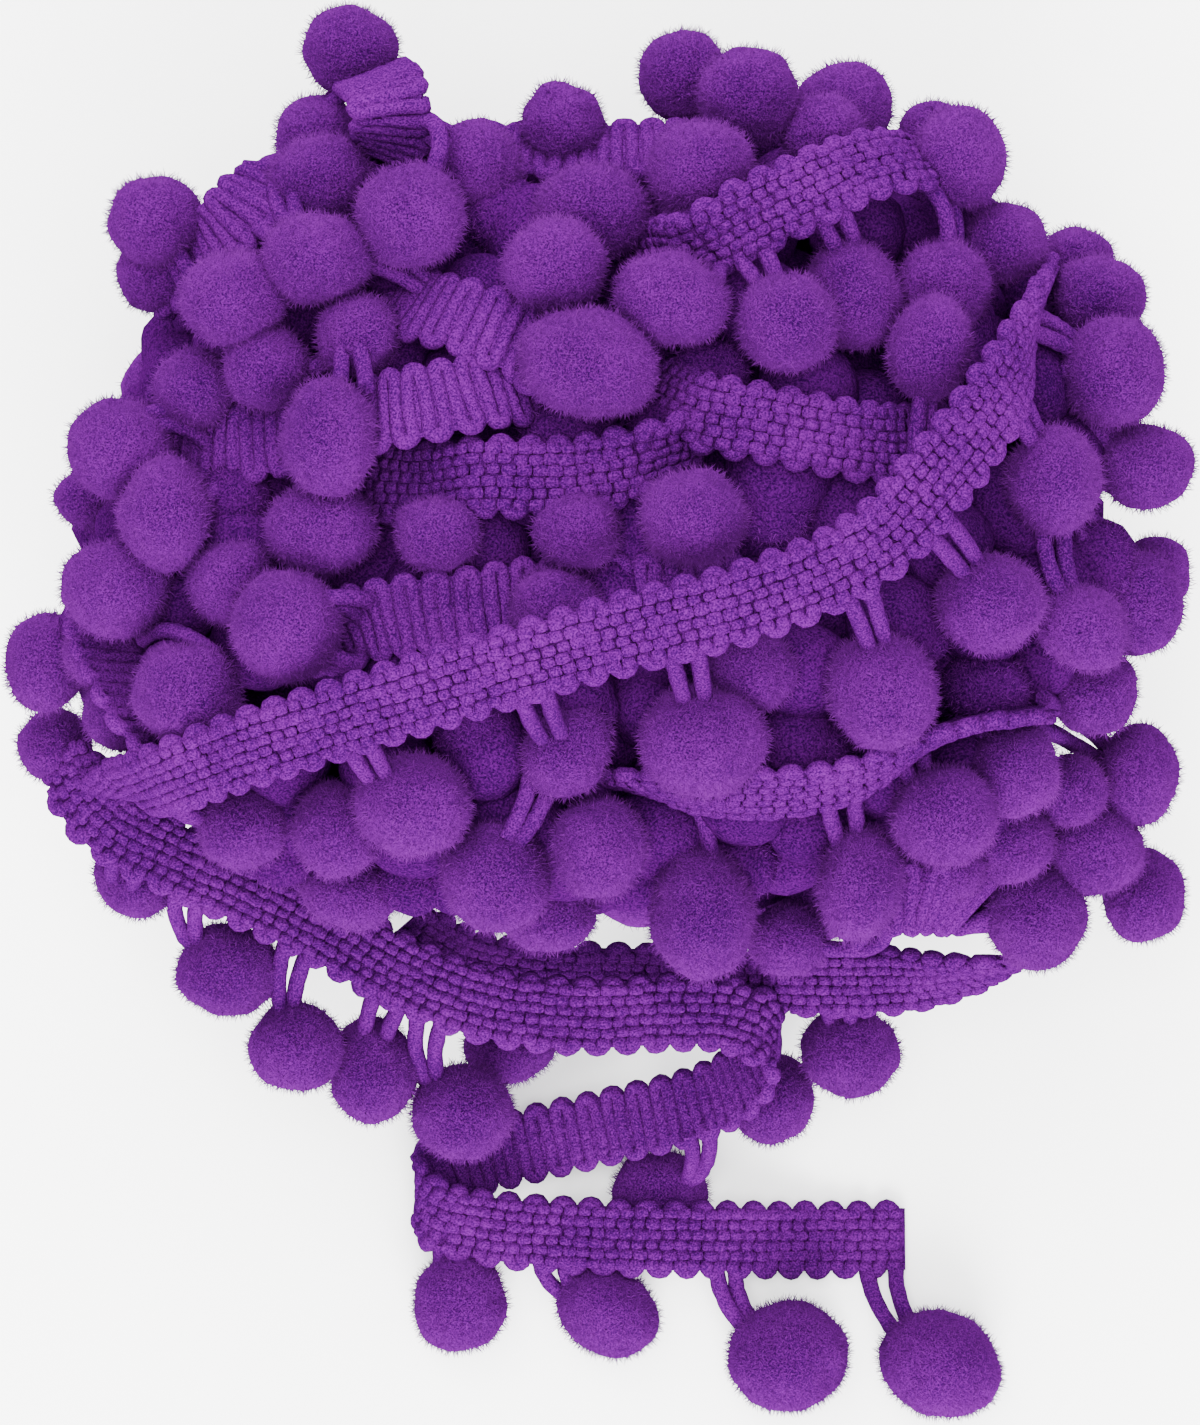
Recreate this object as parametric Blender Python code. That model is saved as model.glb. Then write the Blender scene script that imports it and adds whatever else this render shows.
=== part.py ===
# Pompom fringe trim: a knitted tape with a row of pompoms on corded loops,
# wound round and round into a loose ball, with its free end lying in a Z in front.
# Metres, +Z up. The origin is on the surface it rests on, under the middle of the ball.

import math

import bmesh
import bpy
from mathutils import Matrix, Vector

# Driving dimensions of the trim.
TAPE_WIDTH = 0.0104
TAPE_THICKNESS = 0.0018
EDGE_STRIP = 0.0013  # the looped lower edge of the free end, which the stalks hang from
PART_GAP = 0.00045
POMPOM_DIAMETER = 0.0145
STALK_DIAMETER = 0.0024
STALK_WIDTH = 0.0051  # the two cords of a loop side by side, which are one strand here
ROOT_SHARE = 0.55  # a stalk's size where it leaves the edge strip
ROOT_INSET = 0.0003

# The places below are picture pixels, x to the right and y down, as they are seen
# from straight above. A pixel is PLACE_SCALE wide on the surface.
PLACE_SCALE = 0.00013
VIEW_HEIGHT = 0.9
VIEW_MIDDLE = (600, 712.5)
BALL_MIDDLE = (600, 530)

# The ball that the turns lie on: the middles of its outer pompoms lie on this dome.
DOME_WIDE = 0.0700  # half of its width, along X
DOME_BACK = 0.0570  # its length behind the middle, along Y, which is the winding axis
DOME_FRONT = 0.0535
SQUARENESS = 2.6  # the plan's outline between an oval, 2, and a box
DOME_RISE = 0.0400  # from the rim up to the top
RIM_HEIGHT = 0.0500
UNDER_DROP = 0.0450  # from the rim down to the lowest middles
RIM_DROP = 0.0450  # how fast a pompom that lies past the rim hangs lower
LEVEL_DROP = 0.0050  # from one layer of pompoms to the next
LOWEST_MIDDLE = 0.0060
PACKED = 0.80  # soft neighbours touch at this share of their two radii
SUNK = 0.0058  # each pompom reaches in to the core by a second ball, this much deeper
SUNK_SHARE = 0.85

# The wound core under the outer pompoms, cut level where the ball rests.
CORE_INSET = 0.0092
CORE_BOTTOM = -0.0010
CORE_SIDES = 32
CORE_RINGS = 16

# The ball's solid is fused in small cells, and then made of fewer faces.
CELL = 0.0011
BALL_FACES = 11000
SLOT_CLEARANCE = 0.0007  # round the free end where it comes out of the ball
SLOT_LAST = 14  # the place of the free end's route up to which the ball gives way to it

# The pompoms round the sides and underneath, and the bands there, one for each Y in metres.
UNDER_POMPOMS = 104
UNDER_TURN = math.pi * (3.0 - math.sqrt(5.0))  # from one to the next, which spreads them evenly
UNDER_TAPES = (-0.0085, 0.0085, 0.0255, 0.0420)
UNDER_TAPE_LIFT = 0.0030
UNDER_TAPE_STEPS = 20
UNDER_TAPE_FROM = 0.55  # radians below the rim where these bands start to show

# A pompom at the side is drawn in and down until the outer ones and the tapes hide it from above.
INNER_SHARE = 0.78  # nearer to the middle than this, it is hidden anyway
TAPE_COVER = 0.42  # the share of the tape's width that a pompom mustn't come over
TOP_SHARE = 0.55
EDGE_TURNS = (-1.3, -0.65, 0.0, 0.65, 1.3)  # places round its outer edge, in radians
EDGE_SLACK = 1.02
TUCK_STEPS = 9
TUCK_IN = 0.965
TUCK_DOWN = 0.0008

ROUTE_STEP = 0.006  # between the sections of a turn's band
FREE_STEP = 0.004  # between the sections of the free end
CLOSE_IN_STEPS = 6
MILLIMETRE = 0.001
BAND_DEPTH = 0.0110  # how far a turn's band reaches in, to the core
LOWEST_DEPTH = 0.0080  # the same for the lowest turn
STALK_REACH = 0.0200  # a pompom further than this from its turn's tape hides its stalk
STALK_PLACE = 0.35  # where a stalk leaves the tape, as a share of its width from the middle
POMPOM_TURN = 900.0  # turns each pompom's facets another way, in radians for a metre of X
OUTER_LEAN = Vector((0.0, -0.5, 0.85))  # which way the lowest turn faces

PURPLE = (0.155, 0.028, 0.305, 1.0)
ROUGHNESS = 0.9

# One row for each turn of the trim, from the outermost in. The tape's route is a
# list of (x, y, lift in mm above the dome, roll in degrees), and the pompoms are
# (x, y, diameter, layer); x, y and diameter are picture pixels.
TURNS = (
    {
        "name": "last_turn",
        "tape": (
            (112, 790, -22, 50), (150, 784, 4, 10), (250, 748, 6, 0), (420, 694, 7, 0), (600, 640, 8, 0),
            (760, 598, 8, 0), (870, 548, 8, 0), (945, 468, 8, 0), (1002, 388, 7, 18), (1030, 320, 2, 48),
            (1044, 270, -14, 60),
        ),
        "pompoms": (
            (243, 827, 92, 1), (413, 805, 116, 0), (568, 748, 96, 1), (703, 742, 126, 0),
            (883, 692, 117, 0), (990, 603, 108, 0), (1052, 480, 108, 0), (1113, 372, 111, 0),
        ),
    },
    {
        "name": "top_right_turn",
        "tape": (
            (640, 262, -10, 50), (690, 250, -1, 62), (740, 222, 3, 35), (800, 194, 5, 10), (860, 167, 6, 0),
            (912, 160, 4, 0), (960, 175, -12, 0),
        ),
        "pompoms": (
            (672, 298, 107, 0), (786, 323, 103, 0), (853, 297, 105, 1), (942, 288, 104, 1),
            (1003, 243, 86, 1), (1098, 300, 97, 1),
        ),
    },
    {
        "name": "upper_rib_turn",
        "tape": (
            (385, 300, -12, 0), (430, 308, -5, 0), (480, 322, -3, 0), (520, 340, -4, 10), (575, 370, -10, 0),
        ),
        "pompoms": ((357, 335, 90, 1), (590, 363, 129, 0), (267, 367, 86, 1), (195, 388, 84, 2)),
    },
    {
        "name": "lower_rib_turn",
        "tape": (
            (150, 415, -14, 30), (205, 445, -9, 10), (270, 440, -8, 0), (345, 420, -6, 0), (400, 408, -2, 0),
            (450, 398, -2, 0), (500, 388, -5, 0), (560, 392, -12, 0),
        ),
        "pompoms": ((118, 447, 100, 0), (164, 515, 108, 0), (327, 437, 113, 0), (322, 528, 106, 1)),
    },
    {
        "name": "upper_middle_turn",
        "tape": (
            (360, 478, -14, 0), (420, 485, -9, 0), (480, 476, -4, 0), (540, 478, -4, 0), (600, 472, -4, 12),
            (655, 456, -4, 40), (700, 440, -8, 50),
        ),
        "pompoms": ((440, 532, 88, 1), (578, 532, 86, 1), (694, 517, 106, 0), (772, 505, 84, 2)),
    },
    {
        "name": "upper_right_turn",
        "tape": (
            (640, 386, -12, 20), (700, 412, -4, 10), (760, 422, -2, 0), (830, 436, -2, 0), (890, 444, -4, 0),
            (960, 440, -12, 0),
        ),
        "pompoms": (
            (567, 440, 100, 2), (660, 432, 80, 2), (710, 378, 84, 2), (927, 347, 98, 0), (1147, 467, 94, 0),
        ),
    },
    {
        "name": "middle_turn",
        "tape": (
            (300, 632, -12, 0), (350, 625, -7, 8), (410, 615, -4, 0), (470, 608, -4, 0), (530, 598, -8, 0),
            (610, 592, -8, 0), (690, 592, -8, 0), (760, 590, -14, 0),
        ),
        "pompoms": (
            (288, 624, 111, 0), (117, 588, 107, 0), (46, 662, 97, 1), (230, 580, 92, 1),
            (555, 608, 92, 1), (752, 668, 92, 1),
        ),
    },
    {
        "name": "lower_right_turn",
        "tape": (
            (610, 778, -14, 30), (670, 786, -7, 30), (740, 790, -4, 25), (800, 788, -4, 30),
            (860, 775, -4, 40), (910, 748, -5, 52), (960, 725, -6, 62), (1035, 708, -12, 66),
        ),
        "pompoms": (
            (703, 908, 121, 0), (860, 882, 103, 0), (945, 815, 100, 0), (1015, 772, 95, 1),
            (820, 755, 92, 1), (1138, 777, 100, 0),
        ),
    },
    {
        "name": "back_top_turn",
        "tape": (
            (455, 150, -16, 20), (520, 152, -13, 20), (600, 150, -12, 20), (680, 148, -12, 20),
            (740, 150, -16, 20),
        ),
        "pompoms": ((475, 165, 94, 1), (562, 122, 86, 2), (699, 170, 107, 0), (824, 135, 84, 1)),
    },
    {
        "name": "top_left_turn",
        "tape": ((400, 44, 0, 0), (395, 72, 6, 0), (389, 104, 6, 0), (381, 136, 2, 0), (370, 168, -8, 0)),
        "pompoms": ((352, 51, 93, 0), (410, 216, 110, 0), (322, 183, 102, 1), (318, 140, 90, 2)),
    },
    {
        "name": "left_shoulder_turn",
        "tape": (
            (170, 290, -14, 0), (205, 255, -6, 30), (232, 222, -2, 30), (262, 186, -2, 20),
            (300, 150, -10, 0),
        ),
        "pompoms": ((157, 220, 95, 0), (155, 276, 80, 2), (232, 298, 104, 0), (318, 258, 98, 0)),
    },
    {
        "name": "right_rib_turn",
        "tape": ((860, 905, -12, 0), (910, 905, -8, 0), (960, 905, -8, 0), (1020, 900, -14, 0)),
        "pompoms": ((1038, 912, 110, 0), (1097, 848, 101, 0), (1143, 895, 90, 2), (785, 945, 84, 2)),
    },
    {
        "name": "hidden_crown",
        "tape": (),
        "pompoms": (
            (683, 74, 92, 1), (748, 100, 102, 0), (845, 112, 100, 1), (938, 140, 84, 2), (960, 158, 100, 0),
            (1078, 262, 80, 2), (590, 215, 114, 1), (557, 268, 106, 0), (495, 215, 80, 2), (702, 228, 80, 1),
            (740, 198, 80, 2),
        ),
    },
    {
        "name": "hidden_left",
        "tape": (),
        "pompoms": (
            (88, 498, 72, 2), (110, 650, 92, 2), (58, 745, 80, 2), (187, 695, 109, 0), (235, 500, 80, 2),
            (130, 706, 90, 2), (475, 730, 90, 2), (340, 832, 98, 1), (410, 880, 80, 2), (493, 878, 112, 0),
        ),
    },
    {
        "name": "hidden_right",
        "tape": (),
        "pompoms": (
            (600, 847, 102, 0), (672, 835, 84, 2), (548, 908, 90, 2), (915, 645, 80, 2),
            (985, 685, 92, 2), (1083, 628, 102, 0), (1138, 603, 98, 1), (1155, 575, 74, 2),
            (1095, 690, 90, 2), (742, 866, 76, 2),
        ),
    },
)

# The lowest turn stands off from the ball's end, with its heights in mm above the
# surface. It faces up and outwards.
LOWEST_TURN = {
    "name": "lowest_turn",
    "tape": (
        (405, 925, 29, 0), (450, 955, 26, 0), (520, 970, 24, 8), (620, 974, 24, 8), (720, 976, 24, 20),
        (820, 976, 26, 25), (900, 975, 30, 22), (960, 968, 35, 40), (1010, 955, 39, 62), (1055, 935, 40, 70),
    ),
    "pompoms": ((510, 1046, 84, 14), (772, 1098, 88, 12), (850, 1052, 98, 18)),
}

# The free end: it comes out of the ball at the left, lies along its lower rim, turns
# back at the right, comes down to the surface and turns forward again at the left.
# Its heights are in mm above the surface.
FREE_END = (
    (66, 748, 42, 8), (80, 788, 43, 8), (114, 826, 43.5, 5), (175, 858, 43, 0), (250, 892, 41, 0),
    (330, 932, 38, 0), (400, 972, 36, 0), (480, 1004, 34, 0), (580, 1016, 32, 6), (680, 1012, 30, 4),
    (735, 1016, 29.5, 0), (768, 1038, 27, 0), (748, 1076, 22, 0), (700, 1104, 16, 0), (620, 1124, 10, 0),
    (540, 1142, 5.6, 0), (475, 1158, 2.8, 0), (432, 1176, 2.8, 0), (421, 1198, 5.8, 0), (440, 1218, 8.4, 0),
    (500, 1230, 8.8, 0), (580, 1236, 9.4, 0), (660, 1239, 9.6, 0), (740, 1240, 6.0, 0), (820, 1240, 2.0, 0),
    (905, 1239, 1.0, 0),
)

# The rows of the free end's looped edge, from one place of its route to another, and
# their pompoms as (x, y, diameter, height in mm).
FREE_ROWS = (
    {"name": "rim_row_left", "first": 1, "last": 5, "pompoms": ((138, 877, 86, 33), (228, 970, 102, 34))},
    {
        "name": "rim_row_front", "first": 5, "last": 10,
        "pompoms": ((297, 1046, 94, 31), (373, 1070, 98, 26), (464, 1114, 103, 24)),
    },
    {"name": "free_row_back", "first": 12, "last": 16, "pompoms": ((660, 1192, 88, 4.2),)},
    {
        "name": "free_row_left", "first": 19, "last": 22,
        "pompoms": ((461, 1302, 97, 5.7), (607, 1310, 102, 6.0)),
    },
    {
        "name": "free_row_front", "first": 22, "last": 25,
        "pompoms": ((787, 1356, 117, 6.8), (940, 1364, 116, 6.7)),
    },
)


def world(x, y, height):
    """A picture place, seen from VIEW_HEIGHT, at a height in metres."""
    nearness = 1.0 - height / VIEW_HEIGHT
    middle = PLACE_SCALE * (VIEW_MIDDLE[1] - BALL_MIDDLE[1]) * (1.0 - RIM_HEIGHT / VIEW_HEIGHT)
    return Vector((
        (x - VIEW_MIDDLE[0]) * PLACE_SCALE * nearness,
        (VIEW_MIDDLE[1] - y) * PLACE_SCALE * nearness - middle,
        height,
    ))


def seen_from(place):
    """A point as it is seen from above, in metres on the surface."""
    nearness = 1.0 - place.z / VIEW_HEIGHT
    middle = PLACE_SCALE * (VIEW_MIDDLE[1] - BALL_MIDDLE[1]) * (1.0 - RIM_HEIGHT / VIEW_HEIGHT)
    return Vector((place.x, place.y + middle)) / nearness


def half_length(y):
    """The ball's length from its middle to its front or back end."""
    return DOME_BACK if y > 0 else DOME_FRONT


def plan_share(point):
    """How far out a plan place lies: 0 in the middle of the ball, 1 on its rim."""
    wide = abs(point.x / DOME_WIDE) ** SQUARENESS
    return (wide + abs(point.y / half_length(point.y)) ** SQUARENESS) ** (1 / SQUARENESS)


def half_span(y):
    """The ball's half-width at a Y, as a share of its greatest."""
    return (1.0 - abs(y / half_length(y)) ** SQUARENESS) ** (1 / SQUARENESS)


def ring_place(turned, ring, inset, height):
    """A point on an oval ring of the ball: its bearing, its share of the rim and how far in."""
    wide = math.cos(turned)
    long = math.sin(turned)
    rim = ring / (abs(wide) ** SQUARENESS + abs(long) ** SQUARENESS) ** (1 / SQUARENESS)
    return Vector(((DOME_WIDE - inset) * rim * wide, (half_length(long) - inset) * rim * long, height))


def dome_height(point):
    """Height of the dome of pompom middles over a plan place."""
    out = plan_share(point)
    if out < 1.0:
        return RIM_HEIGHT + DOME_RISE * math.sqrt(1.0 - out * out)
    return RIM_HEIGHT - RIM_DROP * (out - 1.0)


def on_dome(x, y, lift):
    """A picture place on the dome, lifted along Z, found by closing in on its height."""
    height = RIM_HEIGHT
    for _ in range(CLOSE_IN_STEPS):
        height = max(dome_height(world(x, y, height)) + lift, LOWEST_MIDDLE)
    return world(x, y, height)


def outward(point):
    """The ball's outward direction at a point."""
    rise = DOME_RISE if point.z > RIM_HEIGHT else UNDER_DROP
    normal = Vector((
        point.x / DOME_WIDE ** 2,
        point.y / half_length(point.y) ** 2,
        (point.z - RIM_HEIGHT) / rise ** 2,
    ))
    return normal.normalized()


def smooth_route(points, step):
    """Points about one step apart on a smooth curve through the given points."""
    padded = [points[0] * 2 - points[1]] + points + [points[-1] * 2 - points[-2]]
    route = []
    for before, start, end, after in zip(padded, padded[1:], padded[2:], padded[3:]):
        count = max(1, round((end - start).length / step))
        for index in range(count):
            t = index / count
            route.append(0.5 * (
                2 * start + (end - before) * t
                + (2 * before - 5 * start + 4 * end - after) * t ** 2
                + (3 * start - before - 3 * end + after) * t ** 3
            ))
    route.append(points[-1].copy())
    return route


def tangents(route):
    """The direction of travel at each point of a route."""
    ends = [route[0]] + route + [route[-1]]
    return [(after - before).normalized() for before, after in zip(ends, ends[2:])]


def ruled_solid(bm, route, across, inward, low, high, top, bottom):
    """A strip along a route: from low to high across it, from top to bottom through it."""
    rings = []
    for point, side, under, depth in zip(route, across, inward, bottom):
        corners = (
            point + side * low - under * top,
            point + side * high - under * top,
            point + side * high + under * depth,
            point + side * low + under * depth,
        )
        rings.append([bm.verts.new(corner) for corner in corners])
    for ring, following in zip(rings, rings[1:]):
        for index in range(4):
            follow = (index + 1) % 4
            bm.faces.new((ring[index], ring[follow], following[follow], following[index]))
    bm.faces.new(rings[0])
    bm.faces.new(list(reversed(rings[-1])))


def add_pompom(bm, middle, diameter, flatten=1.0):
    """A pompom as a faceted ball, pressed level where it meets the surface."""
    turn = Matrix.Rotation(middle.x * POMPOM_TURN, 4, "Z")
    made = bmesh.ops.create_icosphere(bm, subdivisions=2, radius=diameter / 2, matrix=turn)
    for vert in made["verts"]:
        vert.co.z *= flatten
        vert.co += middle


def add_rooted_pompom(bm, middle, diameter):
    """A pompom with a second ball under it that joins it to the wound core."""
    add_pompom(bm, middle, diameter)
    add_pompom(bm, middle - outward(middle) * SUNK, diameter * SUNK_SHARE)


def add_stalk(bm, root, end, across):
    """The corded loop of one pompom, as a four-sided strand."""
    along = (end - root).normalized()
    side = (across - along * across.dot(along)).normalized() * STALK_WIDTH / 2
    thick = along.cross(side).normalized() * STALK_DIAMETER / 2
    rings = []
    for point, share in ((root, ROOT_SHARE), (end, 1.0)):
        corners = (side + thick, thick - side, -side - thick, side - thick)
        rings.append([bm.verts.new(point + corner * share) for corner in corners])
    for index in range(4):
        follow = (index + 1) % 4
        bm.faces.new((rings[0][index], rings[0][follow], rings[1][follow], rings[1][index]))
    bm.faces.new(rings[0])
    bm.faces.new(list(reversed(rings[1])))


def closed_mesh(name, bm):
    """A mesh with its faces pointing out, shaded smooth but for its sharp edges."""
    bmesh.ops.recalc_face_normals(bm, faces=bm.faces)
    mesh = bpy.data.meshes.new(name)
    bm.to_mesh(mesh)
    bm.free()
    mesh.shade_smooth()
    mesh.set_sharp_from_angle(angle=math.radians(50))
    return mesh


def add_object(name, mesh, material, guide=False):
    """An object in the scene; a guide only shapes others and isn't part of the trim."""
    mesh.materials.append(material)
    made = bpy.data.objects.new(name, mesh)
    bpy.context.scene.collection.objects.link(made)
    if guide:
        made.hide_render = True
        made.display_type = "WIRE"
    return made


def cloth_material(name, colour):
    """A matt yarn material."""
    material = bpy.data.materials.new(name)
    material.use_nodes = True
    shader = material.node_tree.nodes["Principled BSDF"]
    shader.inputs["Base Color"].default_value = colour
    shader.inputs["Roughness"].default_value = ROUGHNESS
    shader.inputs["Metallic"].default_value = 0.0
    return material


def turn_route(stations, heights_given):
    """A turn's route, its direction across the tape and its direction into the ball."""
    points = []
    rolls = []
    for x, y, lift, roll in stations:
        height = lift * MILLIMETRE
        points.append(world(x, y, height) if heights_given else on_dome(x, y, height))
        rolls.append(Vector((math.radians(roll), 0, 0)))
    route = smooth_route(points, ROUTE_STEP)
    roll_route = resampled(rolls, points, route)
    across = []
    inward = []
    for point, along, roll in zip(route, tangents(route), roll_route):
        normal = outward(point) if not heights_given else OUTER_LEAN.normalized()
        side = along.cross(normal)
        side = (side if side.y < 0 else -side).normalized()
        side = Matrix.Rotation(roll.x if along.x > 0 else -roll.x, 3, along) @ side
        under = side.cross(along).normalized()
        under = under if under.dot(normal) < 0 else -under
        across.append(side)
        inward.append(under)
    return route, across, inward


def resampled(values, points, route):
    """Values given at the points, read off along the smoothed route."""
    found = []
    for place in route:
        distances = [(place - point).length for point in points]
        near = sorted(range(len(points)), key=lambda index: distances[index])[:2]
        first, second = near
        share = distances[first] / max(distances[first] + distances[second], 1e-9)
        found.append(values[first].lerp(values[second], share))
    return found


def add_turn(bm, middles, bands, turn, heights_given):
    """One turn: its band of tape, its pompoms and the stalks that hold them."""
    route = []
    if turn["tape"]:
        route, across, inward = turn_route(turn["tape"], heights_given)
        half = TAPE_WIDTH / 2
        if heights_given:
            depths = [LOWEST_DEPTH] * len(route)
        else:
            depths = [BAND_DEPTH + max(0.0, place.z - dome_height(place)) for place in route]
        ruled_solid(bm, route, across, inward, -half, half, 0.0, depths)
        bands.extend(route)
    for x, y, size, layer in turn["pompoms"]:
        middle = world(x, y, layer * MILLIMETRE) if heights_given else on_dome(x, y, -LEVEL_DROP * layer)
        diameter = size * PLACE_SCALE * (1.0 - middle.z / VIEW_HEIGHT)
        if heights_given:
            add_pompom(bm, middle, diameter)
        else:
            add_rooted_pompom(bm, middle, diameter)
        middles.append((middle, diameter / 2))
        if not route:
            continue
        near = min(range(len(route)), key=lambda index: (route[index] - middle).length)
        if (route[near] - middle).length < STALK_REACH:
            root = route[near] + across[near] * TAPE_WIDTH * STALK_PLACE + inward[near] * STALK_DIAMETER / 2
            add_stalk(bm, root, middle, (route[near] - middle).cross(inward[near]))


def stays_hidden(middle, radius, shown, bands):
    """Whether a pompom lies under what is seen from above: the listed pompoms and tapes."""
    seen = seen_from(middle)
    for place in bands:
        over = (seen - seen_from(place)).length < radius + TAPE_COVER * TAPE_WIDTH
        if over and middle.z + TOP_SHARE * radius > place.z:
            return False
    if plan_share(middle) < INNER_SHARE:
        return True
    facing = math.atan2(middle.y, middle.x)
    for turned in EDGE_TURNS:
        edge = seen + Vector((math.cos(facing + turned), math.sin(facing + turned))) * radius
        if not any((edge - seen_from(other)).length < size * EDGE_SLACK for other, size in shown):
            return False
    return True


def tuck_in(middle, radius, shown, bands):
    """Draws a pompom in and down until it is hidden from above, or gives it up."""
    place = middle.copy()
    for _ in range(TUCK_STEPS):
        if stays_hidden(place, radius, shown, bands):
            return place
        place.x *= TUCK_IN
        place.y *= TUCK_IN
        place.z = max(place.z - TUCK_DOWN, LOWEST_MIDDLE)
    return None


def add_under_pompoms(bm, middles, bands):
    """The pompoms on the sides and underneath, where no listed one lies."""
    shown = list(middles)
    radius = POMPOM_DIAMETER / 2
    for index in range(UNDER_POMPOMS):
        low = (index + 0.5) / UNDER_POMPOMS
        height = max(RIM_HEIGHT - UNDER_DROP * low, LOWEST_MIDDLE)
        place = ring_place(UNDER_TURN * index, math.sqrt(1.0 - low * low), 0.0, height)
        middle = tuck_in(place, radius, shown, bands)
        if middle is None:
            continue
        if all((middle - other).length > PACKED * (radius + size) for other, size in middles):
            add_rooted_pompom(bm, middle, 2 * radius)
            middles.append((middle, radius))


def add_under_tapes(bm):
    """The bands of the turns that run round the sides and underneath."""
    for y in UNDER_TAPES:
        share = half_span(y)
        wide = DOME_WIDE * share + UNDER_TAPE_LIFT
        drop = UNDER_DROP * share + UNDER_TAPE_LIFT
        route = []
        for index in range(UNDER_TAPE_STEPS + 1):
            angle = -UNDER_TAPE_FROM - (math.pi - 2 * UNDER_TAPE_FROM) * index / UNDER_TAPE_STEPS
            route.append(Vector((wide * math.cos(angle), y, RIM_HEIGHT + drop * math.sin(angle))))
        across = []
        inward = []
        for place, along in zip(route, tangents(route)):
            side = along.cross(outward(place)).normalized()
            across.append(side if side.y < 0 else -side)
            inward.append(-outward(place))
        half = TAPE_WIDTH / 2
        ruled_solid(bm, route, across, inward, -half, half, 0.0, [BAND_DEPTH] * len(route))


def add_core(bm):
    """The wound core as a turned form with oval rings."""
    rings = []
    for level in range(1, CORE_RINGS):
        tilt = math.pi * level / CORE_RINGS
        rise = DOME_RISE if level < CORE_RINGS / 2 else RIM_HEIGHT - CORE_BOTTOM + CORE_INSET
        height = RIM_HEIGHT + (rise - CORE_INSET) * math.cos(tilt)
        bearings = [2 * math.pi * index / CORE_SIDES for index in range(CORE_SIDES)]
        rings.append([
            bm.verts.new(ring_place(bearing, math.sin(tilt), CORE_INSET, height)) for bearing in bearings
        ])
    top = bm.verts.new((0, 0, RIM_HEIGHT + DOME_RISE - CORE_INSET))
    bottom = bm.verts.new((0, 0, CORE_BOTTOM))
    for ring, following in zip(rings, rings[1:]):
        for index in range(CORE_SIDES):
            follow = (index + 1) % CORE_SIDES
            bm.faces.new((ring[index], following[index], following[follow], ring[follow]))
    for index in range(CORE_SIDES):
        follow = (index + 1) % CORE_SIDES
        bm.faces.new((top, rings[0][index], rings[0][follow]))
        bm.faces.new((bottom, rings[-1][follow], rings[-1][index]))


def largest_body(bm):
    """Keeps the largest connected body of a mesh and drops the rest."""
    unseen = set(bm.faces)
    bodies = []
    while unseen:
        body = {unseen.pop()}
        edge_of_body = list(body)
        while edge_of_body:
            face = edge_of_body.pop()
            for edge in face.edges:
                for other in edge.link_faces:
                    if other in unseen:
                        unseen.remove(other)
                        body.add(other)
                        edge_of_body.append(other)
        bodies.append(body)
    bodies.sort(key=len)
    dropped = [face for body in bodies[:-1] for face in body]
    bmesh.ops.delete(bm, geom=dropped, context="FACES")
    loose = [vert for vert in bm.verts if not vert.link_faces]
    bmesh.ops.delete(bm, geom=loose, context="VERTS")


def evaluated_mesh(made):
    """The mesh that an object's modifiers give."""
    graph = bpy.context.evaluated_depsgraph_get()
    return bpy.data.meshes.new_from_object(made.evaluated_get(graph))


def cut_from(made, name, mesh, material):
    """Cuts a closed mesh out of an object."""
    guide = add_object("guide_" + name, mesh, material, True)
    cut = made.modifiers.new(name, "BOOLEAN")
    cut.operation = "DIFFERENCE"
    cut.solver = "EXACT"
    cut.object = guide


def build_ball(material):
    """The wound ball: its core, bands, stalks and pompoms fused in one, cut level below."""
    form = bmesh.new()
    middles = []
    route, across, inward, marks = free_route()
    middles.extend((place, TAPE_WIDTH / 2) for place in route)
    for row in FREE_ROWS:
        for x, y, size, height in row["pompoms"]:
            middles.append((world(x, y, height * MILLIMETRE), size * PLACE_SCALE / 2))
    bands = list(route)
    add_core(form)
    for turn in TURNS:
        add_turn(form, middles, bands, turn, False)
    add_turn(form, middles, bands, LOWEST_TURN, True)
    add_under_pompoms(form, middles, bands)
    add_under_tapes(form)
    fused = add_object("guide_fused", closed_mesh("guide_fused", form), material, True)
    remesh = fused.modifiers.new("fuse", "REMESH")
    remesh.mode = "VOXEL"
    remesh.voxel_size = CELL
    fine = bmesh.new()
    fine.from_mesh(evaluated_mesh(fused))
    bmesh.ops.triangulate(fine, faces=fine.faces)
    largest_body(fine)
    share = BALL_FACES / len(fine.faces)
    ball = add_object("wound_ball", closed_mesh("wound_ball", fine), material)
    fewer = ball.modifiers.new("fewer_faces", "DECIMATE")
    fewer.ratio = share
    slot = bmesh.new()
    reach = TAPE_THICKNESS / 2 + SLOT_CLEARANCE
    places = route[:marks[SLOT_LAST]]
    places[0] = places[0] - (places[1] - places[0]).normalized() * 2 * SLOT_CLEARANCE
    edge = TAPE_WIDTH / 2 + SLOT_CLEARANCE
    ruled_solid(slot, places, across, inward, -edge, edge, reach, [reach] * len(route))
    cut_from(ball, "slot", closed_mesh("guide_slot", slot), material)
    level = bmesh.new()
    size = 4 * DOME_WIDE
    bmesh.ops.create_cube(level, size=size, matrix=Matrix.Translation((0, 0, -size / 2)))
    cut_from(ball, "level", closed_mesh("guide_level", level), material)


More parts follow.
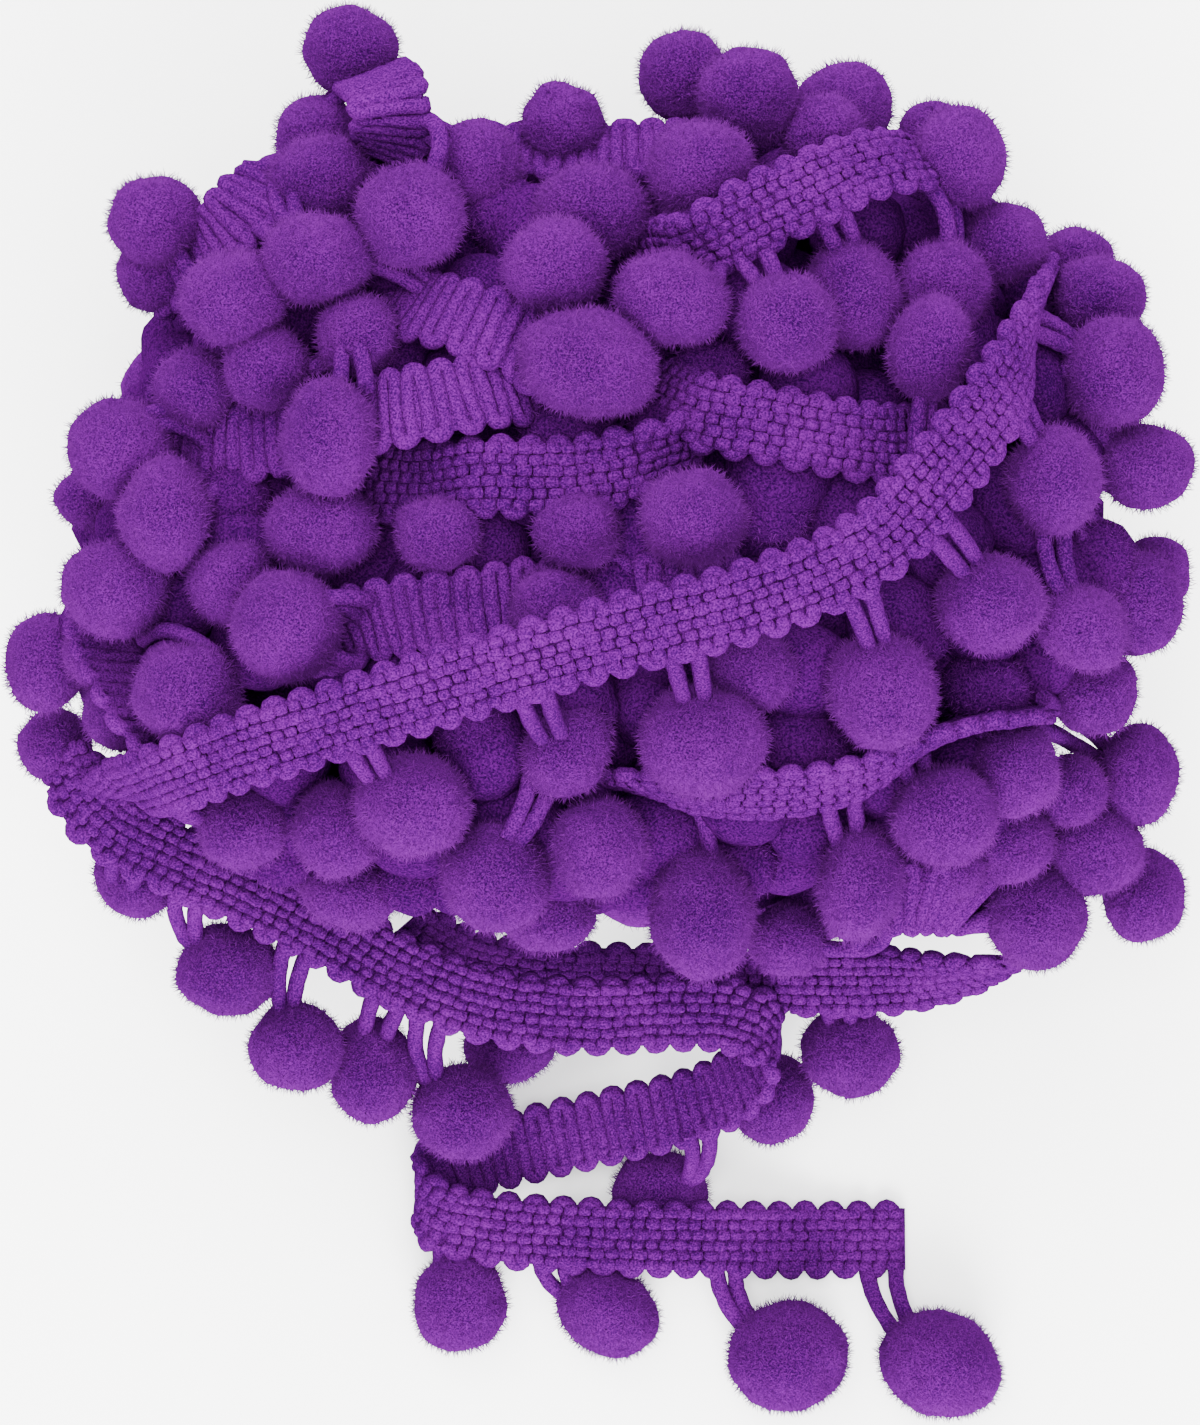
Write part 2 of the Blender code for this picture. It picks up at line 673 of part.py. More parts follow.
def free_route():
    """The free end's route, the directions across and into it, and its places' marks."""
    points = [world(x, y, height * MILLIMETRE) for x, y, height, roll in FREE_END]
    rolls = [Vector((math.radians(roll), 0, 0)) for x, y, height, roll in FREE_END]
    route = smooth_route(points, FREE_STEP)
    roll_route = resampled(rolls, points, route)
    marks = [min(range(len(route)), key=lambda index: (route[index] - point).length) for point in points]
    down = Vector((0, -1, 0))
    across = []
    inward = []
    for along, roll in zip(tangents(route), roll_route):
        side = (down - along * along.dot(down)).normalized()
        side = Matrix.Rotation(roll.x, 3, along) @ side
        across.append(side)
        inward.append(along.cross(side).normalized())
    return route, across, inward, marks


def build_free_end(tape_material, pompom_material):
    """The free end's tape, and its looped edge in rows that each hold their pompoms."""
    route, across, inward, marks = free_route()
    half = TAPE_WIDTH / 2
    low_edge = half - EDGE_STRIP
    thickness = [TAPE_THICKNESS / 2] * len(route)
    bm = bmesh.new()
    ruled_solid(bm, route, across, inward, -half, low_edge - PART_GAP, TAPE_THICKNESS / 2, thickness)
    add_object("loose_tape", closed_mesh("loose_tape", bm), tape_material)
    for row in FREE_ROWS:
        stretch = slice(marks[row["first"]], marks[row["last"]] + 1)
        places = [place.copy() for place in route[stretch]]
        places[0] += (places[1] - places[0]).normalized() * PART_GAP / 2
        places[-1] += (places[-2] - places[-1]).normalized() * PART_GAP / 2
        sides = across[stretch]
        unders = inward[stretch]
        edge = bmesh.new()
        ruled_solid(edge, places, sides, unders, low_edge, half, TAPE_THICKNESS / 2, thickness)
        strip = add_object(row["name"], closed_mesh(row["name"], edge), pompom_material)
        strands = bmesh.new()
        for x, y, size, height in row["pompoms"]:
            middle = world(x, y, height * MILLIMETRE)
            radius = size * PLACE_SCALE / 2 * (1.0 - middle.z / VIEW_HEIGHT)
            add_pompom(strands, middle, 2 * radius, min(1.0, middle.z / radius))
            near = min(range(len(places)), key=lambda index: (places[index] - middle).length)
            root = places[near] + sides[near] * (half - ROOT_INSET)
            add_stalk(strands, root, middle, (places[near] - middle).cross(unders[near]))
        guide_name = "guide_" + row["name"]
        guide = add_object(guide_name, closed_mesh(guide_name, strands), pompom_material, True)
        fuse = strip.modifiers.new("fuse", "BOOLEAN")
        fuse.operation = "UNION"
        fuse.solver = "EXACT"
        fuse.use_self = True
        fuse.object = guide


def main():
    """Clears the scene and builds the trim."""
    for made in list(bpy.data.objects):
        bpy.data.objects.remove(made, do_unlink=True)
    tape = cloth_material("tape_yarn", PURPLE)
    pompom = cloth_material("pompom_pile", PURPLE)
    build_ball(pompom)
    build_free_end(tape, pompom)


main()
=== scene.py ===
import math
import random

import bmesh
import bpy
from mathutils import Matrix, Vector


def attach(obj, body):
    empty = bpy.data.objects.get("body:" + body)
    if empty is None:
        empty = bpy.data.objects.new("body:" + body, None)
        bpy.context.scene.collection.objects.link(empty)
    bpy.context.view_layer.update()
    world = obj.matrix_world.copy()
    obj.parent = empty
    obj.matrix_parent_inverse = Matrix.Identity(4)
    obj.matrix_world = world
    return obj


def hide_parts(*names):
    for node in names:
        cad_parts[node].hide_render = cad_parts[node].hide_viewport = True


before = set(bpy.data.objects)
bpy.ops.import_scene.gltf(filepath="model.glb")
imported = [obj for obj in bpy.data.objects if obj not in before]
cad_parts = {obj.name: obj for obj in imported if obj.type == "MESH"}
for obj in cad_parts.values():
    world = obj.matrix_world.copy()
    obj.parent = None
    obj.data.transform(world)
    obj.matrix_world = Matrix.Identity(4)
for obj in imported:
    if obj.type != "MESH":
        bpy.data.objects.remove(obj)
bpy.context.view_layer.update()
print("frame loaded")

# the photo is read from straight above, its pixels are scale metres wide on the surface
view = {"scale": 0.00013, "height": 0.9, "middleX": 600, "middleY": 712.5, "ballY": 530}
ball = {
    "wide": 0.0700, "back": 0.0570, "front": 0.0535, "squareness": 2.6, "rise": 0.0400, "rim": 0.0500,
    "underDrop": 0.0450,
    "rimDrop": 0.0450, "levelDrop": 0.0050, "lowest": 0.0060, "leanY": -0.5, "leanZ": 0.85,
}
tape = {
    "width": 0.0104, "crossing": 0.00182, "cord": 0.00096, "cordSides": 8, "crossSteps": 3, "ribSteps": 9,
    "loopSteps": 6,
    "knotColumns": 6, "knotLong": 0.00098, "knotWide": 0.00075, "knotHigh": 0.00053, "knotLift": 0.00078,
    "flatLift": 0.00062,
    "knotShift": 0.13, "knotRound": 0.62, "grain": 850.0,
    "groundInset": 0.0012, "groundThick": 0.0006, "step": 0.0030, "fuzz": 0.00030,
}
stalk = {
    "cord": 0.00106, "apart": 0.00112, "steps": 16, "sides": 8, "reach": 0.0215, "step": 0.0005,
    "fuzz": 0.00042, "grain": 1150.0,
    "under": 0.0022, "below": 0.0007, "endSteps": 5,
}
pile = {
    "detail": 4, "lump": 0.0017, "lumpScale": 150.0, "tuft": 0.0008, "tuftScale": 330.0,
    "fibre": 0.00100, "fibreThick": 0.000060, "density": 5000000.0,
    "deepDensity": 0.5, "sideDensity": 0.12,
}
mm = 0.001
golden = math.pi * (3 - math.sqrt(5))

# one row for each turn: the tape's (x, y, lift in mm over the dome, roll in degrees) and
# the pompoms' (x, y, width, height, layer, slant in degrees if any), x, y and sizes in the photo's pixels
turns = (
    {
        "name": "lastTurn", "face": "knit",
        "tape": (
            (112, 790, -22, 50), (150, 784, 4, 10), (250, 748, 6, 0), (420, 694, 7, 0), (600, 640, 8, 0),
            (760, 598, 8, 0), (870, 548, 8, 0), (945, 468, 8, 0), (1002, 388, 7, 18), (1028, 325, 1, 56),
            (1038, 285, -14, 70),
        ),
        "pompoms": (
            (243, 827, 96, 88, 1), (413, 805, 120, 106, 0, 12), (568, 748, 90, 108, 1, -20),
            (703, 742, 132, 116, 0),
            (883, 692, 114, 120, 0), (990, 603, 116, 102, 0, 10), (1052, 480, 100, 114, 0),
            (1113, 372, 108, 114, 0),
        ),
    },
    {
        "name": "topRightTurn", "face": "knit",
        "tape": (
            (640, 262, -10, 50), (690, 250, -1, 62), (740, 222, 3, 35), (800, 194, 5, 10), (860, 167, 6, 0),
            (912, 160, 4, 0), (960, 175, -12, 0),
        ),
        "pompoms": (
            (672, 298, 124, 94, 0, -10), (787, 323, 103, 106, 0), (853, 296, 100, 114, 1),
            (942, 288, 100, 98, 1),
            (1003, 243, 90, 84, 1), (1098, 300, 99, 94, 1),
        ),
    },
    {
        "name": "upperRibTurn", "face": "rib",
        "tape": (
            (385, 300, -12, 0), (430, 308, -5, 0), (480, 322, -3, 0), (520, 340, -4, 10),
            (575, 370, -10, 0),
        ),
        "pompoms": (
            (357, 335, 88, 90, 1), (588, 363, 146, 112, 0, -24), (267, 367, 90, 90, 1),
            (195, 388, 86, 82, 1),
        ),
    },
    {
        "name": "lowerRibTurn", "face": "rib",
        "tape": (
            (150, 415, -14, 30), (205, 445, -9, 10), (270, 440, -8, 0), (345, 420, -6, 0),
            (400, 408, -2, 0),
            (450, 398, -2, 0), (500, 388, -5, 0), (560, 392, -12, 0),
        ),
        "pompoms": (
            (120, 449, 108, 106, 0), (165, 515, 98, 118, 0), (328, 438, 102, 122, 0),
            (322, 529, 118, 96, 1),
        ),
    },
    {
        "name": "upperMiddleTurn", "face": "knit",
        "tape": (
            (360, 478, -14, 0), (420, 485, -9, 0), (480, 476, -4, 0), (540, 478, -4, 0), (600, 472, -4, 12),
            (655, 456, -4, 40), (700, 440, -8, 50),
        ),
        "pompoms": (
            (440, 533, 94, 84, 1), (578, 531, 92, 84, 1), (693, 518, 114, 102, 0), (772, 505, 92, 86, 2),
        ),
    },
    {
        "name": "upperRightTurn", "face": "knit",
        "tape": (
            (640, 386, -12, 20), (700, 412, -4, 10), (760, 422, -2, 0), (830, 436, -2, 0),
            (890, 444, -4, 0),
            (960, 440, -12, 0),
        ),
        "pompoms": (
            (567, 438, 106, 84, 2), (660, 432, 84, 80, 2), (710, 378, 90, 84, 2),
            (929, 348, 84, 114, 0, -12),
            (1147, 467, 100, 90, 0, 14),
        ),
    },
    {
        "name": "middleTurn", "face": "rib",
        "tape": (
            (300, 632, -12, 0), (350, 625, -7, 8), (410, 615, -4, 0), (470, 608, -4, 0), (530, 598, -8, 0),
            (610, 592, -8, 0), (690, 592, -8, 0), (760, 590, -14, 0),
        ),
        "pompoms": (
            (288, 625, 114, 114, 0), (117, 589, 114, 102, 0), (46, 662, 88, 106, 1), (231, 580, 92, 90, 1),
            (555, 610, 94, 92, 1), (750, 670, 98, 86, 1),
        ),
    },
    {
        "name": "lowerRightTurn", "face": "knit",
        "tape": (
            (610, 778, -12, 30), (670, 788, -3, 30), (740, 793, 0, 25), (800, 791, 0, 25),
            (860, 777, 0, 30),
            (910, 750, -1, 45), (960, 727, -3, 60), (1035, 710, -9, 66),
        ),
        "pompoms": (
            (703, 912, 108, 140, 0), (860, 884, 88, 120, 0), (943, 815, 108, 106, 0),
            (1014, 771, 100, 94, 1),
            (806, 748, 108, 92, 2), (1138, 777, 86, 112, 0),
        ),
    },
    {
        "name": "backTopTurn", "face": "rib",
        "tape": (
            (455, 150, -16, 20), (520, 152, -13, 20), (600, 150, -12, 20), (680, 148, -12, 20),
            (740, 150, -16, 20),
        ),
        "pompoms": (
            (476, 165, 90, 94, 1), (562, 123, 86, 88, 2), (701, 169, 114, 104, 0), (824, 134, 86, 84, 1),
        ),
    },
    {
        "name": "topLeftTurn", "face": "rib", "lean": (0, 0.2, 1),
        "tape": ((368, 74, 6, 0), (384, 86, 12, 0), (390, 110, 10, 0), (391, 136, 2, 0), (388, 166, -8, 0)),
        "pompoms": (
            (352, 50, 99, 93, -2), (410, 216, 114, 108, 0), (321, 181, 112, 98, 1), (317, 139, 92, 88, 2),
        ),
    },
    {
        "name": "leftShoulderTurn", "face": "rib",
        "tape": (
            (170, 290, -14, 0), (205, 255, -6, 30), (232, 222, -2, 30), (262, 186, -2, 20),
            (300, 150, -10, 0),
        ),
        "pompoms": (
            (157, 220, 98, 94, 0), (157, 274, 88, 84, 2), (233, 298, 110, 102, 0), (318, 258, 114, 96, 0),
        ),
    },
    {
        "name": "rightRibTurn", "face": "rib", "lean": (0.1, -0.35, 1),
        "tape": ((850, 898, -9, 0), (905, 898, -3, 0), (955, 898, -4, 0), (1005, 893, -14, 0)),
        "pompoms": (
            (1036, 914, 106, 116, 0), (1095, 848, 106, 100, 0), (787, 940, 84, 78, 2),
            (1010, 842, 92, 84, 2), (950, 868, 84, 72, 2), (1070, 790, 80, 76, 2),
        ),
    },
    {
        "name": "leftEdgeTurn", "face": "rib",
        "tape": ((168, 772, 1, 50), (136, 718, -1, 74), (112, 660, -5, 80), (98, 612, -10, 80)),
        "pompoms": (),
    },
    {
        "name": "hiddenCrown", "face": "rib", "tape": (),
        "pompoms": (
            (683, 75, 94, 94, 1), (748, 96, 106, 100, 0), (845, 108, 102, 94, 1), (935, 140, 80, 78, 2),
            (960, 156, 96, 108, -1), (1078, 262, 80, 78, 2), (590, 213, 124, 100, 1),
            (556, 266, 110, 102, 0),
            (500, 215, 84, 84, 2), (704, 228, 82, 78, 1), (741, 196, 80, 74, 2),
        ),
    },
    {
        "name": "hiddenLeft", "face": "rib", "tape": (),
        "pompoms": (
            (88, 499, 70, 66, 2), (109, 653, 94, 86, 2), (55, 746, 80, 76, 2), (189, 692, 112, 106, 0),
            (235, 500, 80, 80, 2), (128, 710, 96, 92, 2), (196, 742, 88, 70, 2), (280, 850, 84, 80, 2),
            (352, 890, 104, 84, 2), (475, 734, 92, 80, 2), (337, 830, 90, 104, 1, 20),
            (412, 880, 80, 76, 2), (495, 878, 114, 112, 0),
        ),
    },
    {
        "name": "hiddenRight", "face": "rib", "tape": (),
        "pompoms": (
            (600, 848, 100, 106, 0), (674, 835, 80, 84, 2), (549, 912, 98, 88, 2), (913, 636, 80, 76, 2),
            (985, 688, 98, 86, 2), (1082, 628, 108, 86, 0, -32), (1141, 604, 90, 106, 1),
            (1155, 575, 72, 80, 2),
            (1093, 690, 92, 90, 2), (742, 866, 76, 76, 2), (1088, 560, 92, 92, 2), (1096, 430, 90, 84, 2),
            (1143, 895, 86, 98, 2),
        ),
    },
)
# the lowest turn and the free end have their heights in mm above the surface
lowestTurn = {
    "name": "lowestTurn", "face": "knit",
    "tape": (
        (405, 925, 29, 0), (450, 955, 26, 0), (520, 970, 24, 8), (620, 974, 24, 8), (720, 979, 24, 0),
        (820, 982, 26, -8), (900, 980, 30, -5), (960, 973, 35, 22), (1010, 961, 39, 52),
        (1055, 945, 40, 66),
    ),
    "pompoms": ((510, 1046, 94, 76, 14), (770, 1098, 92, 94, 12), (850, 1053, 104, 95, 18)),
}
freeEnd = (
    (66, 748, 42, 8), (80, 788, 43, 8), (114, 826, 43.5, 5), (175, 858, 43, 0), (250, 892, 41, 0),
    (330, 932, 38, 0), (400, 972, 36, 0), (480, 1004, 34, 0), (580, 1016, 32, 6), (680, 1012, 30, 4),
    (735, 1016, 29.5, 0), (768, 1038, 27, 0), (748, 1076, 22, 0), (700, 1104, 16, 0), (620, 1124, 10, 0),
    (540, 1142, 5.6, 0), (475, 1158, 2.8, 0), (432, 1176, 2.8, 0), (421, 1198, 5.8, 0), (440, 1218, 8.4, 0),
    (500, 1230, 8.8, 0), (580, 1236, 9.4, 0), (660, 1239, 9.6, 0), (740, 1240, 6.0, 0), (820, 1240, 2.0, 0),
    (905, 1239, 1.0, 0),
)
# (x, y, width, height, height in mm, x and y of the stalk's root, slant in degrees if any)
rimPompoms = (
    (138, 877, 92, 84, 33, 125, 872), (228, 970, 105, 96, 34, 190, 900), (297, 1046, 96, 93, 31, 290, 955),
    (373, 1070, 92, 110, 26, 385, 1005), (461, 1112, 103, 103, 24, 425, 1025),
)
freePompoms = (
    (660, 1192, 100, 88, 4.2, 702, 1140), (461, 1302, 96, 104, 5.7, 452, 1256),
    (607, 1311, 108, 90, 6.0, 553, 1272, -28),
    (788, 1356, 126, 112, 6.8, 728, 1277, 18), (941, 1364, 128, 108, 6.7, 893, 1277, -20),
)
# cords that show between the turns: (x, y, x, y, lift in mm over the dome at each end, bow in mm)
looseLoops = (
    (354, 392, 346, 328, 0.5, -1.5, 0.4), (352, 254, 442, 304, -2.0, -8.0, -1.6),
    (290, 163, 297, 232, -2.0, -3.0, 1.0),
    (216, 440, 140, 422, -10.0, 0.0, 2.4), (402, 116, 470, 154, 6.0, -4.0, -0.8),
    (1028, 322, 1098, 364, -1.0, -2.0, -0.8),
    (146, 652, 216, 660, -7.0, -2.0, -2.4), (368, 622, 320, 602, -9.0, 0.0, 2.2),
    (548, 758, 512, 842, -6.0, 0.0, -0.6),
    (1054, 528, 1072, 602, -2.0, 0.0, 0.8), (1082, 526, 1130, 586, -8.0, -4.0, -1.2),
    (1034, 711, 1122, 770, -9.0, -6.0, -0.6),
)
# the turns round the sides and underneath, as in the solids: rows of pompoms and bands at these Y
under = {
    "count": 104, "bands": (-0.0085, 0.0085, 0.0255, 0.0420), "bandLift": 0.0012, "bandSteps": 40,
    "bandFrom": 0.95, "packed": 0.80, "diameter": 0.0145, "openFrom": 0.78, "pullSteps": 9, "pull": 0.965,
    "pullDown": 0.0008,
}
inner = {
    "count": 260, "inset": 0.0092, "radius": 0.0062, "lowFrom": -0.1,
    "heartInset": 0.0150, "heartDetail": 5, "heartLump": 0.003, "heartTuft": 0.002,
}
seed = 7
rng = random.Random(seed)


def placeAt(x, y, height):
    nearness = 1.0 - height / view["height"]
    middle = view["scale"] * (view["middleY"] - view["ballY"]) * (1.0 - ball["rim"] / view["height"])
    return Vector((
        (x - view["middleX"]) * view["scale"] * nearness,
        (view["middleY"] - y) * view["scale"] * nearness - middle,
        height,
    ))


def halfLength(y):
    return ball["back"] if y > 0 else ball["front"]


def planShare(point):
    power = ball["squareness"]
    return (abs(point.x / ball["wide"]) ** power + abs(point.y / halfLength(point.y)) ** power) ** (1 / power)


def halfSpan(y):
    power = ball["squareness"]
    return (1.0 - abs(y / halfLength(y)) ** power) ** (1 / power)


def ringPlace(bearing, ring, inset, height):
    power = ball["squareness"]
    wide = math.cos(bearing)
    long = math.sin(bearing)
    rim = ring / (abs(wide) ** power + abs(long) ** power) ** (1 / power)
    return Vector(((ball["wide"] - inset) * rim * wide, (halfLength(long) - inset) * rim * long, height))


def domeHeight(point):
    out = planShare(point)
    if out < 1.0:
        return ball["rim"] + ball["rise"] * math.sqrt(1.0 - out * out)
    return ball["rim"] - ball["rimDrop"] * (out - 1.0)


def onDome(x, y, lift):
    height = ball["rim"]
    for _ in range(6):
        height = max(domeHeight(placeAt(x, y, height)) + lift, ball["lowest"])
    return placeAt(x, y, height)


def outwardAt(point):
    rise = ball["rise"] if point.z > ball["rim"] else ball["underDrop"]
    return Vector((
        point.x / ball["wide"] ** 2, point.y / halfLength(point.y) ** 2, (point.z - ball["rim"]) / rise ** 2,
    )).normalized()


def smoothCurve(points, step):
    padded = [points[0] * 2 - points[1]] + points + [points[-1] * 2 - points[-2]]
    curve = []
    for before, start, end, after in zip(padded, padded[1:], padded[2:], padded[3:]):
        count = max(1, round((end - start).length / step))
        for index in range(count):
            t = index / count
            curve.append(0.5 * (
                2 * start + (end - before) * t
                + (2 * before - 5 * start + 4 * end - after) * t ** 2
                + (3 * start - before - 3 * end + after) * t ** 3
            ))
    curve.append(points[-1].copy())
    return curve


def directions(curve):
    ends = [curve[0]] + curve + [curve[-1]]
    return [(after - before).normalized() for before, after in zip(ends, ends[2:])]


def readOff(values, points, curve):
    found = []
    for place in curve:
        distances = [(place - point).length for point in points]
        first, second = sorted(range(len(points)), key=lambda index: distances[index])[:2]
        share = distances[first] / max(distances[first] + distances[second], 1e-9)
        found.append(values[first] * (1 - share) + values[second] * share)
    return found


def turnStrip(stations, kind, lean=None):
    # kind says how heights and faces are found: dome over the ball, lowest and free over the surface
    points = []
    for x, y, lift, roll in stations:
        points.append(onDome(x, y, lift * mm) if kind == "dome" else placeAt(x, y, lift * mm))
    curve = smoothCurve(points, tape["step"])
    rolls = readOff([math.radians(row[3]) for row in stations], points, curve)
    rows = []
    down = Vector((0, -1, 0))
    if kind == "lowest":
        lean = (0, ball["leanY"], ball["leanZ"])
    for place, along, roll in zip(curve, directions(curve), rolls):
        if kind == "free":
            side = (down - along * along.dot(down)).normalized()
            side = Matrix.Rotation(roll, 3, along) @ side
            face = side.cross(along).normalized()
        else:
            normal = Vector(lean).normalized() if lean else outwardAt(place)
            side = along.cross(normal)
            side = (side if side.y < 0 else -side).normalized()
            side = Matrix.Rotation(roll if along.x > 0 else -roll, 3, along) @ side
            face = side.cross(along).normalized()
            face = face if face.dot(normal) > 0 else -face
        rows.append({"place": place, "side": side, "face": face})
    return evenStrip(rows)


def evenStrip(rows):
    # the same strip with its distance along it, so that stitches can be set at a pitch
    total = 0.0
    rows[0]["at"] = 0.0
    for before, row in zip(rows, rows[1:]):
        total += (row["place"] - before["place"]).length
        row["at"] = total
    return rows


def readStrip(rows, distance):
    low = 0
    high = len(rows) - 1
    while high - low > 1:
        half = (low + high) // 2
        if rows[half]["at"] <= distance:
            low = half
        else:
            high = half
    first, second = rows[low], rows[high]
    share = (distance - first["at"]) / max(second["at"] - first["at"], 1e-9)
    share = min(max(share, -0.5), 1.5)
    place = first["place"].lerp(second["place"], share)
    side = first["side"].lerp(second["side"], share).normalized()
    face = first["face"].lerp(second["face"], share)
    face = (face - side * face.dot(side)).normalized()
    return place, side, face


def bandStrip(y):
    rows = []
    share = halfSpan(y)
    wide = ball["wide"] * share + under["bandLift"]
    drop = ball["underDrop"] * share + under["bandLift"]
    curve = []
    for index in range(under["bandSteps"] + 1):
        angle = -under["bandFrom"] - (math.pi - 2 * under["bandFrom"]) * index / under["bandSteps"]
        place = Vector((wide * math.cos(angle), y, ball["rim"] + drop * math.sin(angle)))
        place.z = max(place.z, tape["cord"] + 0.0003)
        curve.append(place)
    for place, along in zip(curve, directions(curve)):
        face = outwardAt(place)
        side = along.cross(face).normalized()
        side = side if side.y < 0 else -side
        rows.append({"place": place, "side": side, "face": side.cross(along).normalized()})
    for row in rows:
        if row["face"].dot(outwardAt(row["place"])) < 0:
            row["face"] = -row["face"]
    return evenStrip(rows)


def weftPath(rows, crossSteps, loopSteps):
    # the weft cord runs to and fro across the tape and turns in a round loop at each edge
    pitch = tape["crossing"]
    half = tape["width"] / 2 - tape["cord"] - pitch / 2
    path = []
    total = rows[-1]["at"]
    count = int(total / pitch)
    direction = 1
    for index in range(count):
        at = (index + 0.5) * pitch
        sway = rng.uniform(-0.14, 0.14) * pitch
        for step in range(crossSteps + 1):
            share = 2 * step / crossSteps - 1
            path.append((at + sway * (1 - share * share), direction * half * share))
        for step in range(1, loopSteps):
            angle = math.pi * step / loopSteps
            path.append((
                at + pitch / 2 * (1 - math.cos(angle)),
                direction * (half + pitch / 2 * math.sin(angle)),
            ))
        direction = -direction
    points = []
    for at, across in path[:1 - loopSteps]:
        place, side, face = readStrip(rows, min(at, total))
        points.append(place + side * across)
    return points


def knotRows(rows, lift):
    # small knots in columns along the knit face
    found = []
    pitch = tape["crossing"]
    usable = tape["width"] - 2 * tape["groundInset"]
    for index in range(int(rows[-1]["at"] / pitch)):
        at = (index + 0.5) * pitch
        place, side, face = readStrip(rows, at)
        along = side.cross(face)
        for column in range(tape["knotColumns"]):
            across = usable * ((column + 0.5) / tape["knotColumns"] - 0.5)
            across += rng.uniform(-0.12, 0.12) * mm
            shift = (tape["knotShift"] if column % 2 else -tape["knotShift"]) * pitch
            shift += rng.uniform(-0.09, 0.09) * mm
            middle = place + side * across + along * shift + face * lift
            turn = Matrix((along, side, face)).transposed().to_euler()
            grown = rng.uniform(0.84, 1.14)
            size = Vector((tape["knotLong"], tape["knotWide"], tape["knotHigh"])) * grown
            found.append((middle, Vector(turn), size))
    return found


def groundFaces(bm, rows):
    half = tape["width"] / 2 - tape["groundInset"]
    thick = tape["groundThick"] / 2
    rings = []
    for row in rows:
        corners = ((-half, thick), (half, thick), (half, -thick), (-half, -thick))
        rings.append([bm.verts.new(row["place"] + row["side"] * x + row["face"] * z) for x, z in corners])
    for ring, following in zip(rings, rings[1:]):
        for index in range(4):
            follow = (index + 1) % 4
            bm.faces.new((ring[index], ring[follow], following[follow], following[index]))
    bm.faces.new(rings[0])
    bm.faces.new(list(reversed(rings[-1])))


def stalkPaths(root, leaving, middle, apart):
    # two cords side by side, leaving the tape's edge and bending into the pompom
    control = root + leaving.normalized() * (middle - root).length * 0.5
    control.z = root.z * 0.15 + middle.z * 0.85
    paths = []
    for sign in (-1, 1):
        loose = rng.uniform(0.75, 1.25)
        path = []
        for index in range(stalk["steps"] + 1):
            t = index / stalk["steps"]
            place = root * (1 - t) ** 2 + control * 2 * t * (1 - t) + middle * t ** 2
            spread = stalk["apart"] * (1.45 - 0.8 * t) * loose
            path.append(place + apart * sign * spread)
        paths.append(path)
    return paths


# geometry nodes

def newTree(name, inputs):
    tree = bpy.data.node_groups.new(name, "GeometryNodeTree")
    tree.interface.new_socket("Geometry", in_out="INPUT", socket_type="NodeSocketGeometry")
    tree.interface.new_socket("Geometry", in_out="OUTPUT", socket_type="NodeSocketGeometry")
    for label, kind, value in inputs:
        socket = tree.interface.new_socket(label, in_out="INPUT", socket_type=kind)
        if value is not None:
            socket.default_value = value
    start = tree.nodes.new("NodeGroupInput")
    end = tree.nodes.new("NodeGroupOutput")
    return tree, start, end


def addNode(tree, kind, **settings):
    node = tree.nodes.new(kind)
    for key, value in settings.items():
        setattr(node, key, value)
    return node


def finishTree(tree, start, end, geometry):
    # every tree ends in realized instances with their material
    smooth = addNode(tree, "GeometryNodeSetShadeSmooth")
    real = addNode(tree, "GeometryNodeRealizeInstances")
    painted = addNode(tree, "GeometryNodeSetMaterial")
    tree.links.new(geometry, smooth.inputs["Geometry"])
    tree.links.new(smooth.outputs["Geometry"], real.inputs["Geometry"])
    tree.links.new(real.outputs["Geometry"], painted.inputs["Geometry"])
    tree.links.new(start.outputs["Material"], painted.inputs["Material"])
    tree.links.new(painted.outputs["Geometry"], end.inputs["Geometry"])


def cordTree():
    tree, start, end = newTree("cordSweep", (
        ("Radius", "NodeSocketFloat", tape["cord"]), ("Sides", "NodeSocketInt", 8),
        ("Fuzz", "NodeSocketFloat", 0.0001), ("Grain", "NodeSocketFloat", tape["grain"]),
        ("Material", "NodeSocketMaterial", None),
    ))
    curve = addNode(tree, "GeometryNodeMeshToCurve")
    ring = addNode(tree, "GeometryNodeCurvePrimitiveCircle")
    sweep = addNode(tree, "GeometryNodeCurveToMesh")
    sweep.inputs["Fill Caps"].default_value = True
    tree.links.new(start.outputs["Geometry"], curve.inputs["Mesh"])
    tree.links.new(start.outputs["Radius"], ring.inputs["Radius"])
    tree.links.new(start.outputs["Sides"], ring.inputs["Resolution"])
    tree.links.new(curve.outputs["Curve"], sweep.inputs["Curve"])
    tree.links.new(ring.outputs["Curve"], sweep.inputs["Profile Curve"])
    moved = pushOut(tree, sweep.outputs["Mesh"], start.outputs["Fuzz"], start.outputs["Grain"])
    finishTree(tree, start, end, moved)
    return tree


